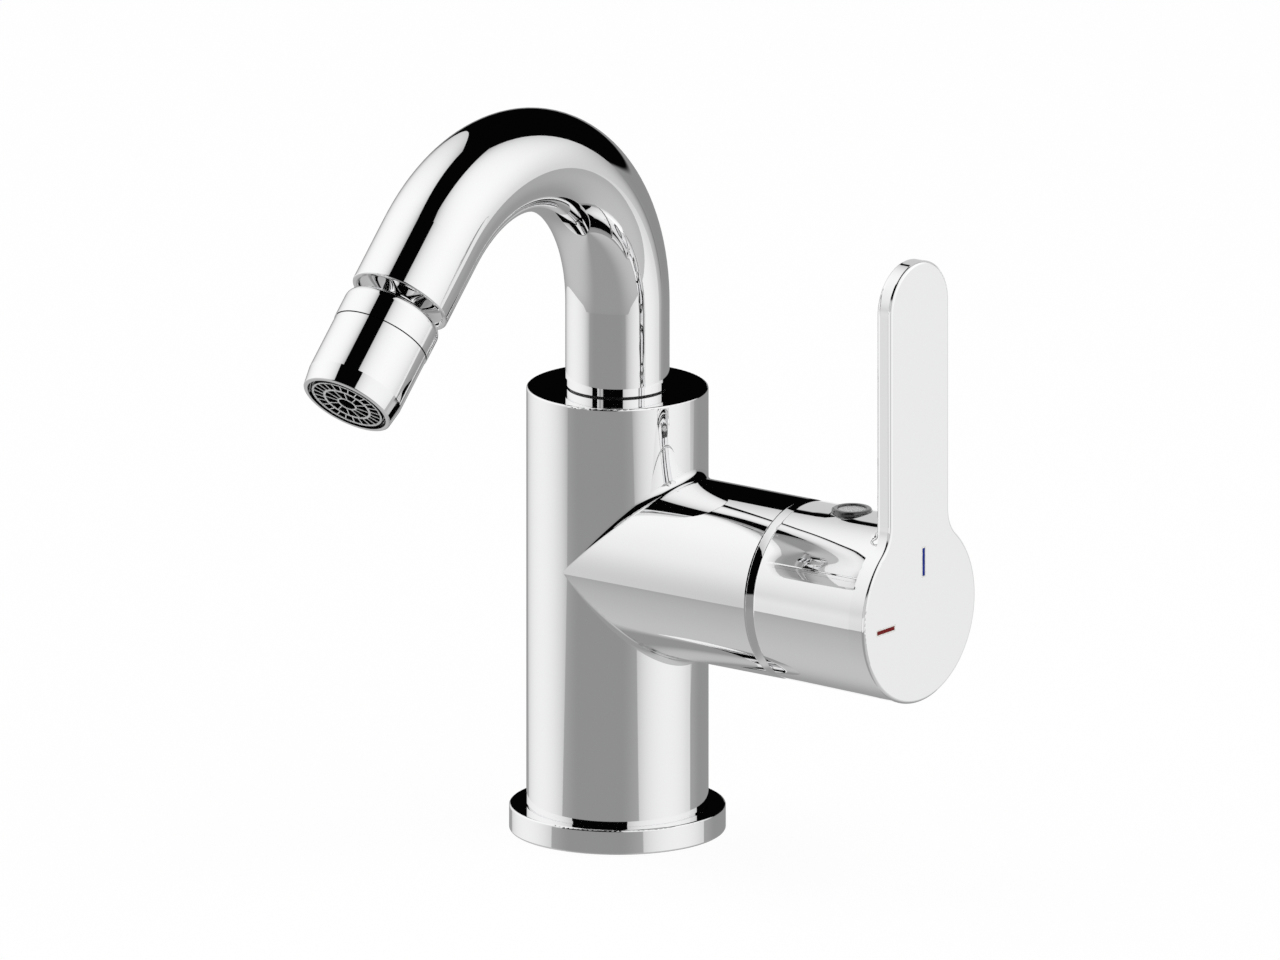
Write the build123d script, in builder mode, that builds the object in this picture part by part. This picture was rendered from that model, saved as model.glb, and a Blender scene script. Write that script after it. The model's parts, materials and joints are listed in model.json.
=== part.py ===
from build123d import *
import os
from math import asin, cos, degrees, radians, sin, sqrt

# Single lever bidet mixer, in millimetres.
# The origin is on the deck, under the middle of the column.
# The lever is on +X, the spout leans over to -Y and +Z is up.

# Fits
thread_clearance = 0.05
running_clearance = 0.05
seat_clearance = 0.1
seal_clearance = 0.03
overrun = 1.0
quarter_turn = 90.0
hex_sides = 6

# Body: a column with a branch of the same diameter
body_diameter = 45.0
body_top = 112.8
branch_height = 70.0
branch_reach = 56.6
rim_rounding = 0.5

# Rosette under the column, and the shadow gap above it
rosette_diameter = 53.5
rosette_height = 6.4
rosette_rounding = 0.5
shadow_gap = 0.4
shadow_diameter = 44.2
spigot_diameter = 38.0
spigot_lift = 1.0
gasket_gap = 1.5
gasket_width = 4.5
gasket_thickness = 2.0
rosette_seal_height = 3.4
rosette_seal_section = 1.4

# Underside of the body: room for the hoses, two hose inlets and the stud hole
cavity_diameter = 33.0
cavity_roof = 24.0
inlet_thread_diameter = 9.0
inlet_thread_depth = 12.0
inlet_spacing = 16.0
inlet_offset = 5.0
stud_hole_diameter = 6.8
stud_hole_depth = 14.0
stud_offset = -9.0

# Water ways inside the body
inlet_way_diameter = 7.0
inlet_port_diameter = 6.0
inlet_port_spacing = 13.0
inlet_port_drop = 5.0
outlet_way_diameter = 9.0
outlet_port_diameter = 7.0
outlet_port_rise = 7.0

# Cartridge chamber in the branch, by its depth from the branch's end
chamber_depth = 40.6
chamber_diameter = 35.5
mouth_depth = 17.1
mouth_diameter = 38.1
peg_diameter = 3.2
peg_length = 2.5
peg_spread = 22.0
peg_rise = 8.0

# Cartridge with ceramic discs
cartridge_diameter = 35.0
base_flange = 3.0
base_plug_length = 4.5
base_plug_diameter = 31.4
disc_seat_depth = 3.5
port_seal_wall = 1.2
port_seal_thickness = 1.4
fixed_disc_diameter = 26.0
fixed_disc_thickness = 4.0
moving_disc_diameter = 19.0
moving_disc_thickness = 3.5
mixing_pocket_length = 13.0
mixing_pocket_width = 10.0
mixing_pocket_depth = 1.6
carrier_diameter = 22.8
carrier_width = 18.0
carrier_thickness = 7.0
carrier_key_diameter = 2.4
carrier_key_length = 1.2
carrier_key_spread = 14.5
carrier_gap = 0.2
housing_bore_diameter = 31.6
housing_roof = 2.3
housing_neck_diameter = 29.8
housing_neck_length = 6.0
rotor_flange_diameter = 30.8
rotor_flange_thickness = 2.8
rotor_cheek_length = 5.5
rotor_neck_diameter = 24.8
rotor_setback = 6.6
rotor_seal_section = 1.2
rotor_seal_setback = 3.1
rotor_slot_clearance = 0.2
nut_bore_diameter = 30.2
nut_length = 6.0
nut_notches = 6
nut_notch_width = 3.0
nut_notch_depth = 2.0

# Lever stem, which rocks on a pin across the rotor
pivot_setback = 14.6
pivot_pin_diameter = 3.0
pivot_pin_length = 24.2
lift_angle = 25.0
stem_width = 8.0
stem_end_gap = 7.6
stem_eye_diameter = 9.0
stem_arm_diameter = 4.8
stem_arm_overlap = 1.2
stem_arm_length = 9.5
stem_ball_diameter = 6.0
ball_pocket_clearance = 0.2
ball_pocket_depth = 5.5

# Dome over the end of the branch, round the lever's pivot
dome_diameter = 53.6
dome_wall = 1.6
dome_opening_diameter = 32.8
dome_skirt_depth = 6.6
dome_skirt_wall = 1.6

# Handle: a cap with a flat paddle that stands up from its face
cap_gap = 2.0
cap_length = 35.0
cap_back_diameter = 45.0
cap_face_diameter = 45.9
cap_edge_wall = 1.1
cap_back_rounding = 0.7
cap_shell_wall = 2.6
cap_front_wall = 4.6
hub_diameter = 18.0
hub_setback = 10.4
hub_ribs = 4
hub_rib_thickness = 2.0
hub_rib_setback = 17.9
paddle_width = 24.1
paddle_thickness = 4.8
paddle_reach = 89.6
paddle_root_radius = 9.0
paddle_back_fillet = 3.0
paddle_back_rounding = 1.5
face_rounding = 0.8
sleeve_wall = 0.75
sleeve_lead = 3.0

# Grub screw in the hub, and the plug that hides it
screw_setback = 13.9
grub_diameter = 5.0
grub_length = 5.0
grub_socket_diameter = 2.9
grub_socket_depth = 2.2
plug_collar_diameter = 10.1
plug_proud = 0.9
plug_rim_rounding = 0.6
plug_sink = 0.6
plug_shank_diameter = 7.8
plug_shank_length = 2.6
plug_dish_diameter = 7.2
plug_dish_depth = 1.1
plug_button_thickness = 0.6
plug_button_dish = 0.35

# Cold and hot marks on the handle's face
mark_length = 7.1
mark_width = 1.0
mark_depth = 0.3
cold_mark_reach = 12.6
cold_mark_shift = 1.5
hot_mark_reach = 14.0
hot_mark_drop = 1.7

# Spout tube
spout_diameter = 25.76
spout_wall = 1.4
spout_bend_start = 134.4
spout_bend_radius = 44.8
spout_bend_angle = 135.0
spout_straight_length = 18.1
spout_rim_rounding = 0.45

# Foot of the spout, in its socket in the body
socket_diameter = 20.0
socket_depth = 24.8
collar_diameter = 25.0
collar_height = 2.1
washer_thickness = 0.4
washer_inner_diameter = 18.4
washer_outer_diameter = 23.6
nipple_diameter = 18.0
nipple_bore_diameter = 10.0
nipple_neck_diameter = 21.0
nipple_insert_length = 11.0
nipple_depth = 24.2
guide_ring_depths = (1.5, 18.0)
guide_ring_length = 3.0
guide_ring_wall = 1.5
spout_seal_depths = (7.4, 11.4)
spout_seal_section = 2.2
lock_ring_depth = 15.6
lock_ring_thickness = 1.0
lock_ring_inner_diameter = 17.4
lock_ring_outer_diameter = 21.6
lock_ring_split = 3.0
lock_groove_play = 0.4
swivel_angle = 45.0
stop_pin_diameter = 2.2
stop_pin_orbit = 7.0
stop_pin_sink = 4.0
stop_pin_rise = 2.4
stop_slot_depth = 2.2

# Ball joint at the spout's mouth, by distance along its axis from the tube's end
stud_insert_length = 10.0
stud_flange_diameter = 22.4
stud_flange_recess = 0.9
stud_dome_rise = 1.1
stud_dome_diameter = 11.0
stud_neck_diameter = 9.2
stud_bore_diameter = 6.0
stud_seal_reach = -6.0
stud_seal_section = 1.4
ball_diameter = 14.0
ball_reach = 8.0
ball_clearance = 0.08
seat_diameter = 18.0
seat_length = 5.8

# Outlet head: socket ring, then the aerator housing
head_start = 2.5
head_seam = 11.2
head_taper_start = 25.8
head_end = 30.6
ring_diameter = 25.3
ring_shoulder = 2.4
ring_lip = 0.9
ring_opening_diameter = 12.8
head_thread_diameter = 20.4
head_thread_length = 1.8
seam_groove = 0.25
housing_diameter = 24.96
outlet_rim_diameter = 23.6
outlet_mouth_diameter = 21.4
outlet_mouth_depth = 4.2
ball_seal_start = 12.6
ball_seal_length = 1.8
ball_seal_diameter = 16.6
head_floor = 2.0
head_way_diameter = 8.0
aerator_chamber_diameter = 20.4
head_rounding = 0.35

# Aerator pieces
washer_ring_thickness = 1.6
washer_ring_inner_diameter = 15.0
screen_thickness = 0.4
screen_rise = 1.2
screen_dome_diameter = 13.6
jet_plate_thickness = 2.0
jet_count = 12
jet_diameter = 1.2
jet_orbit = 7.0
core_flange_length = 5.6
core_diameter = 19.1
core_wall = 0.22
core_setback = 0.1
grille_thickness = 2.4
grille_setback = 0.15
grille_rim = 0.22
outer_cells = 24
cell_rib_setback = 1.0
outer_rib_thickness = 0.36
middle_ring_outer_diameter = 13.1
middle_ring_inner_diameter = 11.8
middle_spokes = 12
middle_spoke_thickness = 0.4
middle_spoke_slant = 12.0
centre_ring_outer_diameter = 5.5
centre_ring_inner_diameter = 4.5

# Places and planes worked out from the sizes
body_radius = body_diameter / 2
gasket_inner_diameter = spigot_diameter + gasket_gap * 2
gasket_outer_diameter = gasket_inner_diameter + gasket_width * 2
chamber_floor = branch_reach - chamber_depth
mouth_start = branch_reach - mouth_depth
pivot_reach = branch_reach - pivot_setback
rotor_end = branch_reach - rotor_setback
cap_back = branch_reach + cap_gap
cap_face = cap_back + cap_length
hub_back = cap_back + hub_setback
hub_rib_back = cap_back + hub_rib_setback
screw_reach = cap_back + screw_setback
sleeve_back = screw_reach - sleeve_lead
stem_end = cap_face - stem_end_gap
collar_foot = body_top + washer_thickness
collar_top = collar_foot + collar_height
column_section = Plane.XZ
branch_section = Plane(origin=(0, 0, branch_height), x_dir=(1, 0, 0), z_dir=(0, -1, 0))
branch_axis = Axis((0, 0, branch_height), (1, 0, 0))
spout_lean = radians(spout_bend_angle)
mouth_y = -spout_bend_radius * (1 - cos(spout_lean)) - spout_straight_length * sin(spout_lean)
mouth_z = spout_bend_start + spout_bend_radius * sin(spout_lean) + spout_straight_length * cos(spout_lean)
mouth_centre = (0, mouth_y, mouth_z)
mouth_direction = (0, -sin(spout_lean), cos(spout_lean))
head_section = Plane(origin=mouth_centre, x_dir=mouth_direction, z_dir=(1, 0, 0))
head_axis = Axis(mouth_centre, mouth_direction)

os.makedirs("parts", exist_ok=True)


def across_branch(reach):
    """A plane square to the branch, with x towards the back and y up."""
    return Plane(origin=(reach, 0, branch_height), x_dir=(0, 1, 0), z_dir=(1, 0, 0))


def across_head(reach):
    """A plane square to the outlet head, looking out along the water."""
    place = [m + reach * d for m, d in zip(mouth_centre, mouth_direction)]
    return Plane(origin=place, x_dir=(1, 0, 0), z_dir=mouth_direction)


def save(piece, label):
    """Name a finished piece and write its file."""
    piece.part.label = label
    export_step(piece.part, f"parts/{label}.step")


# Body
spigot_radius = spigot_diameter / 2
shadow_radius = shadow_diameter / 2
column_foot = rosette_height + shadow_gap
inlet_port_height = branch_height - inlet_port_drop
outlet_port_height = branch_height + outlet_port_rise
socket_floor = body_top - socket_depth
lock_ring_height = body_top - lock_ring_depth
rosette_seal_orbit = spigot_radius + seat_clearance - seal_clearance - rosette_seal_section / 2
rosette_seal_groove = rosette_seal_section / 2 + seal_clearance

with BuildPart() as body:
    with BuildSketch(Plane.XY.offset(column_foot)):
        Circle(body_radius)
    extrude(amount=body_top - column_foot)
    with BuildSketch(across_branch(0)):
        Circle(body_radius)
    extrude(amount=branch_reach)
    fillet(body.edges().filter_by(GeomType.CIRCLE).sort_by(Axis.Z)[-1], rim_rounding)
    fillet(body.edges().filter_by(GeomType.CIRCLE).sort_by(Axis.X)[-1], rim_rounding)
    # Shadow ring and spigot below the column
    with BuildSketch(column_section):
        Polygon(
            (0, spigot_lift),
            (spigot_radius, spigot_lift),
            (spigot_radius, rosette_height),
            (shadow_radius, rosette_height),
            (shadow_radius, column_foot),
            (0, column_foot),
            align=None,
        )
        with Locations((rosette_seal_orbit, rosette_seal_height)):
            Rectangle(
                rosette_seal_groove * 2,
                rosette_seal_groove * 2,
                mode=Mode.SUBTRACT,
            )
        with Locations((spigot_radius, rosette_seal_height)):
            Rectangle(
                rosette_seal_section,
                rosette_seal_groove * 2,
                mode=Mode.SUBTRACT,
            )
    revolve(axis=Axis.Z)
    # Room for the hoses
    with BuildSketch(Plane.XY.offset(spigot_lift - overrun)):
        Circle(cavity_diameter / 2)
    extrude(amount=cavity_roof - spigot_lift + overrun, mode=Mode.SUBTRACT)
    # Hose inlets, the stud hole and the two ways up to the cartridge
    inlet_places = [(inlet_offset, -inlet_spacing / 2), (inlet_offset, inlet_spacing / 2)]
    with BuildSketch(Plane.XY.offset(cavity_roof - overrun)):
        with Locations(*inlet_places):
            Circle(inlet_thread_diameter / 2)
    extrude(amount=inlet_thread_depth + overrun, mode=Mode.SUBTRACT)
    with BuildSketch(Plane.XY.offset(cavity_roof - overrun)):
        with Locations((stud_offset, 0)):
            Circle(stud_hole_diameter / 2)
    extrude(amount=stud_hole_depth + overrun, mode=Mode.SUBTRACT)
    with BuildSketch(Plane.XY.offset(cavity_roof)):
        with Locations(*inlet_places):
            Circle(inlet_way_diameter / 2)
    extrude(amount=inlet_port_height + inlet_port_diameter / 2 - cavity_roof, mode=Mode.SUBTRACT)
    # Ports in the chamber's floor
    port_run = chamber_floor - inlet_offset + overrun
    with BuildSketch(across_branch(inlet_offset)):
        with Locations(
            (-inlet_port_spacing / 2, -inlet_port_drop),
            (inlet_port_spacing / 2, -inlet_port_drop),
        ):
            Circle(inlet_port_diameter / 2)
    extrude(amount=port_run, mode=Mode.SUBTRACT)
    with BuildSketch(across_branch(0)):
        with Locations((0, outlet_port_rise)):
            Circle(outlet_port_diameter / 2)
    extrude(amount=chamber_floor + overrun, mode=Mode.SUBTRACT)
    with BuildSketch(across_branch(chamber_floor - peg_length - seat_clearance)):
        with Locations((-peg_spread / 2, peg_rise), (peg_spread / 2, peg_rise)):
            Circle(peg_diameter / 2 + seat_clearance)
    extrude(amount=peg_length + seat_clearance + overrun, mode=Mode.SUBTRACT)
    # Cartridge chamber and its wider threaded mouth
    with BuildSketch(across_branch(chamber_floor)):
        Circle(chamber_diameter / 2)
    extrude(amount=branch_reach - chamber_floor + overrun, mode=Mode.SUBTRACT)
    with BuildSketch(across_branch(mouth_start)):
        Circle(mouth_diameter / 2)
    extrude(amount=branch_reach - mouth_start + overrun, mode=Mode.SUBTRACT)
    # Spout socket, with the groove of the lock ring, over the mixed water way
    with BuildSketch(Plane.XY.offset(outlet_port_height)):
        Circle(outlet_way_diameter / 2)
    extrude(amount=socket_floor - outlet_port_height + overrun, mode=Mode.SUBTRACT)
    with BuildSketch(Plane.XY.offset(socket_floor)):
        Circle(socket_diameter / 2)
    extrude(amount=socket_depth + overrun, mode=Mode.SUBTRACT)
    with BuildSketch(Plane.XY.offset(lock_ring_height - lock_ring_thickness / 2 - seat_clearance)):
        Circle(lock_ring_outer_diameter / 2 + seat_clearance)
    extrude(amount=lock_ring_thickness + seat_clearance * 2, mode=Mode.SUBTRACT)
    with BuildSketch(Plane.XY.offset(socket_floor - stop_pin_sink)):
        with Locations((0, stop_pin_orbit)):
            Circle(stop_pin_diameter / 2 + seal_clearance)
    extrude(amount=stop_pin_sink + overrun, mode=Mode.SUBTRACT)
save(body, "body")

# Rosette, its gasket and its seal
rosette_radius = rosette_diameter / 2
rosette_hole_radius = spigot_radius + seat_clearance
with BuildPart() as base_rosette:
    with BuildSketch(Plane.XY):
        Circle(rosette_radius)
    extrude(amount=rosette_height)
    fillet(base_rosette.edges(), rosette_rounding)
    with BuildSketch(Plane.XY.offset(-overrun)):
        Circle(rosette_hole_radius)
    extrude(amount=rosette_height + overrun * 2, mode=Mode.SUBTRACT)
    with BuildSketch(Plane.XY):
        Circle(gasket_outer_diameter / 2)
        Circle(gasket_inner_diameter / 2, mode=Mode.SUBTRACT)
    extrude(amount=gasket_thickness, mode=Mode.SUBTRACT)
save(base_rosette, "base_rosette")

with BuildPart() as base_gasket:
    with BuildSketch(Plane.XY):
        Circle(gasket_outer_diameter / 2 - seat_clearance)
        Circle(gasket_inner_diameter / 2 + seat_clearance, mode=Mode.SUBTRACT)
    extrude(amount=gasket_thickness)
save(base_gasket, "base_gasket")

with BuildPart() as rosette_seal:
    with BuildSketch(column_section):
        with Locations((rosette_seal_orbit, rosette_seal_height)):
            Circle(rosette_seal_section / 2)
    revolve(axis=Axis.Z)
save(rosette_seal, "rosette_seal")

# Cartridge base with its pegs, port seals and disc seat
port_places = [
    (-inlet_port_spacing / 2, -inlet_port_drop),
    (inlet_port_spacing / 2, -inlet_port_drop),
    (0, outlet_port_rise),
]
port_radii = [inlet_port_diameter / 2, inlet_port_diameter / 2, outlet_port_diameter / 2]
base_end = chamber_floor + base_flange + base_plug_length
disc_seat = base_end - disc_seat_depth
with BuildPart() as cartridge_base:
    with BuildSketch(branch_section):
        Polygon(
            (chamber_floor, 0),
            (chamber_floor, cartridge_diameter / 2),
            (chamber_floor + base_flange, cartridge_diameter / 2),
            (chamber_floor + base_flange, base_plug_diameter / 2),
            (base_end, base_plug_diameter / 2),
            (base_end, fixed_disc_diameter / 2 + seat_clearance),
            (disc_seat, fixed_disc_diameter / 2 + seat_clearance),
            (disc_seat, 0),
            align=None,
        )
    revolve(axis=branch_axis)
    with BuildSketch(across_branch(chamber_floor - peg_length)):
        with Locations((-peg_spread / 2, peg_rise), (peg_spread / 2, peg_rise)):
            Circle(peg_diameter / 2)
    extrude(amount=peg_length)
    for place, radius in zip(port_places, port_radii):
        with BuildSketch(across_branch(chamber_floor)):
            with Locations(place):
                Circle(radius)
        extrude(amount=disc_seat - chamber_floor, mode=Mode.SUBTRACT)
        with BuildSketch(across_branch(chamber_floor)):
            with Locations(place):
                Circle(radius + port_seal_wall + seat_clearance)
        extrude(amount=port_seal_thickness, mode=Mode.SUBTRACT)
save(cartridge_base, "cartridge_base")

with BuildPart() as port_seals:
    for place, radius in zip(port_places, port_radii):
        with BuildSketch(across_branch(chamber_floor)):
            with Locations(place):
                Circle(radius + port_seal_wall)
                Circle(radius, mode=Mode.SUBTRACT)
        extrude(amount=port_seal_thickness)
save(port_seals, "port_seals")

# Ceramic discs: the fixed one has the three ports, the moving one a mixing pocket
fixed_disc_face = disc_seat + fixed_disc_thickness
with BuildPart() as fixed_disc:
    with BuildSketch(across_branch(disc_seat)):
        Circle(fixed_disc_diameter / 2)
        for place, radius in zip(port_places, port_radii):
            with Locations(place):
                Circle(radius, mode=Mode.SUBTRACT)
    extrude(amount=fixed_disc_thickness)
save(fixed_disc, "fixed_disc")

moving_disc_face = fixed_disc_face + moving_disc_thickness
key_places = [(-carrier_key_spread / 2, 0), (carrier_key_spread / 2, 0)]
with BuildPart() as moving_disc:
    with BuildSketch(across_branch(fixed_disc_face)):
        Circle(moving_disc_diameter / 2)
    extrude(amount=moving_disc_thickness)
    with BuildSketch(across_branch(fixed_disc_face)):
        SlotOverall(mixing_pocket_length, mixing_pocket_width, rotation=quarter_turn)
    extrude(amount=mixing_pocket_depth, mode=Mode.SUBTRACT)
    with BuildSketch(across_branch(moving_disc_face - carrier_key_length - seat_clearance)):
        with Locations(*key_places):
            Circle(carrier_key_diameter / 2 + seat_clearance)
    extrude(amount=carrier_key_length + seat_clearance, mode=Mode.SUBTRACT)
save(moving_disc, "moving_disc")

# Carrier that the stem's ball pushes, with two keys into the moving disc
carrier_end = moving_disc_face + carrier_thickness
ball_place = pivot_reach - stem_arm_length
with BuildPart() as disc_carrier:
    with BuildSketch(across_branch(moving_disc_face)):
        Circle(carrier_diameter / 2)
        Rectangle(carrier_width, carrier_diameter, mode=Mode.INTERSECT)
    extrude(amount=carrier_thickness)
    with BuildSketch(across_branch(moving_disc_face - carrier_key_length)):
        with Locations(*key_places):
            Circle(carrier_key_diameter / 2)
    extrude(amount=carrier_key_length)
    with BuildSketch(across_branch(carrier_end - ball_pocket_depth)):
        Circle(stem_ball_diameter / 2 + ball_pocket_clearance)
    extrude(amount=ball_pocket_depth, mode=Mode.SUBTRACT)
save(disc_carrier, "disc_carrier")

# Rotor: a flanged neck with cheeks that guide the carrier and a slot for the stem
rotor_foot = carrier_end + carrier_gap
rotor_shoulder = rotor_foot + rotor_flange_thickness
rotor_neck_radius = rotor_neck_diameter / 2
rotor_seal_radius = rotor_seal_section / 2
rotor_seal_orbit = rotor_neck_radius + running_clearance - rotor_seal_radius
rotor_seal_place = pivot_reach - rotor_seal_setback
slot_half_width = stem_width / 2 + rotor_slot_clearance
slot_top = stem_eye_diameter / 2 + rotor_slot_clearance * 2
slot_swing = (rotor_end - pivot_reach) * sin(radians(lift_angle)) / cos(radians(lift_angle))
slot_bottom = -slot_swing - stem_width / 2 / cos(radians(lift_angle)) - rotor_slot_clearance * 2
slot_start = pivot_reach - stem_eye_diameter / 2 - rotor_slot_clearance
arm_half_width = stem_ball_diameter / 2 + rotor_slot_clearance
arm_swing = stem_arm_length * sin(radians(lift_angle))
with BuildPart() as cartridge_rotor:
    with BuildSketch(branch_section):
        Polygon(
            (rotor_foot, 0),
            (rotor_foot, rotor_flange_diameter / 2),
            (rotor_shoulder, rotor_flange_diameter / 2),
            (rotor_shoulder, rotor_neck_radius),
            (rotor_end, rotor_neck_radius),
            (rotor_end, 0),
            align=None,
        )
        with Locations((rotor_seal_place, rotor_neck_radius)):
            Rectangle(
                rotor_seal_section + seal_clearance * 2,
                (rotor_neck_radius - rotor_seal_orbit + rotor_seal_radius + seal_clearance) * 2,
                mode=Mode.SUBTRACT,
            )
    revolve(axis=branch_axis)
    with BuildSketch(across_branch(rotor_foot - rotor_cheek_length)):
        Circle(rotor_flange_diameter / 2)
        Rectangle(
            carrier_width + carrier_gap * 2,
            rotor_flange_diameter,
            mode=Mode.SUBTRACT,
        )
    extrude(amount=rotor_cheek_length)
    with BuildSketch(branch_section):
        with Locations((slot_start, slot_bottom)):
            Rectangle(
                rotor_end - slot_start + overrun,
                slot_top - slot_bottom,
                align=(Align.MIN, Align.MIN),
            )
    extrude(amount=slot_half_width, both=True, mode=Mode.SUBTRACT)
    with BuildSketch(branch_section):
        with Locations((rotor_foot - overrun, -arm_half_width)):
            Rectangle(
                slot_start - rotor_foot + overrun * 2,
                arm_half_width * 2 + arm_swing,
                align=(Align.MIN, Align.MIN),
            )
    extrude(amount=arm_half_width, both=True, mode=Mode.SUBTRACT)
    with BuildSketch(branch_section):
        with Locations((pivot_reach, 0)):
            Circle(pivot_pin_diameter / 2 + seal_clearance)
    extrude(amount=rotor_neck_radius, both=True, mode=Mode.SUBTRACT)
save(cartridge_rotor, "cartridge_rotor")

with BuildPart() as rotor_seal:
    with BuildSketch(branch_section):
        with Locations((rotor_seal_place, rotor_seal_orbit)):
            Circle(rotor_seal_radius)
    revolve(axis=branch_axis)
save(rotor_seal, "rotor_seal")

with BuildPart() as pivot_pin:
    with BuildSketch(branch_section):
        with Locations((pivot_reach, 0)):
            Circle(pivot_pin_diameter / 2)
    extrude(amount=pivot_pin_length / 2, both=True)
save(pivot_pin, "pivot_pin")

# Cartridge housing and the ring nut that holds it down
housing_foot = chamber_floor + base_flange
housing_ceiling = rotor_shoulder + carrier_gap
housing_shoulder = housing_ceiling + housing_roof
housing_end = housing_shoulder + housing_neck_length
neck_bore_radius = rotor_neck_radius + seat_clearance
with BuildPart() as cartridge_housing:
    with BuildSketch(branch_section):
        Polygon(
            (housing_foot, housing_bore_diameter / 2),
            (housing_foot, cartridge_diameter / 2),
            (housing_shoulder, cartridge_diameter / 2),
            (housing_shoulder, housing_neck_diameter / 2),
            (housing_end, housing_neck_diameter / 2),
            (housing_end, neck_bore_radius),
            (housing_ceiling, neck_bore_radius),
            (housing_ceiling, housing_bore_diameter / 2),
            align=None,
        )
    revolve(axis=branch_axis)
save(cartridge_housing, "cartridge_housing")

nut_end = housing_shoulder + nut_length
with BuildPart() as cartridge_nut:
    with BuildSketch(across_branch(housing_shoulder)):
        Circle(mouth_diameter / 2 - thread_clearance)
        Circle(nut_bore_diameter / 2, mode=Mode.SUBTRACT)
    extrude(amount=nut_length)
    with BuildSketch(across_branch(nut_end - nut_notch_depth)):
        with PolarLocations(nut_bore_diameter / 2, nut_notches):
            Rectangle(nut_notch_width, nut_notch_width)
    extrude(amount=nut_notch_depth, mode=Mode.SUBTRACT)
save(cartridge_nut, "cartridge_nut")

# Dome: a band of a sphere about the lever's pivot, on a threaded skirt
dome_radius = dome_diameter / 2
skirt_radius = mouth_diameter / 2 - thread_clearance
skirt_bore_radius = skirt_radius - dome_skirt_wall
dome_foot_radius = sqrt(dome_radius**2 - (branch_reach - pivot_reach) ** 2)
with BuildPart() as dome_cover:
    with BuildSketch(branch_section):
        with Locations((pivot_reach, 0)):
            Circle(dome_radius)
            Circle(dome_radius - dome_wall, mode=Mode.SUBTRACT)
        with Locations((branch_reach, dome_opening_diameter / 2)):
            Rectangle(dome_radius, dome_radius, align=(Align.MIN, Align.MIN), mode=Mode.INTERSECT)
        with Locations((branch_reach, skirt_bore_radius)):
            Rectangle(
                dome_wall,
                dome_foot_radius - dome_wall - skirt_bore_radius,
                align=(Align.MIN, Align.MIN),
            )
        with Locations((branch_reach, skirt_bore_radius)):
            Rectangle(dome_skirt_depth, dome_skirt_wall, align=(Align.MAX, Align.MIN))
    revolve(axis=branch_axis)
save(dome_cover, "dome_cover")

# Lever stem: square outside, with an eye on the pin and a ball on its inner arm
with BuildPart() as lever_stem:
    with BuildSketch(branch_section):
        with Locations((pivot_reach, 0)):
            Rectangle(stem_end - pivot_reach, stem_width, align=(Align.MIN, Align.CENTER))
            Circle(stem_eye_diameter / 2)
            Circle(pivot_pin_diameter / 2 + running_clearance, mode=Mode.SUBTRACT)
    extrude(amount=stem_width / 2, both=True)
    with BuildSketch(across_branch(ball_place)):
        Circle(stem_arm_diameter / 2)
    extrude(amount=stem_arm_length - stem_eye_diameter / 2 + stem_arm_overlap)
    with Locations((ball_place, 0, branch_height)):
        Sphere(stem_ball_diameter / 2)
save(lever_stem, "lever_stem")

# Plastic sleeve between the stem and the handle's hub
sleeve_half = stem_width / 2 + seat_clearance
sleeve_outer_half = sleeve_half + sleeve_wall
hub_hole_half = sleeve_outer_half + seat_clearance
sleeve_end = stem_end + seat_clearance
with BuildPart() as stem_sleeve:
    with BuildSketch(across_branch(sleeve_back)):
        Rectangle(sleeve_outer_half * 2, sleeve_outer_half * 2)
        Rectangle(sleeve_half * 2, sleeve_half * 2, mode=Mode.SUBTRACT)
    extrude(amount=sleeve_end - sleeve_back)
    with BuildSketch(Plane.XY.offset(branch_height)):
        with Locations((screw_reach, 0)):
            Circle(grub_diameter / 2 + seat_clearance)
    extrude(amount=hub_diameter / 2, mode=Mode.SUBTRACT)
save(stem_sleeve, "stem_sleeve")

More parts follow.
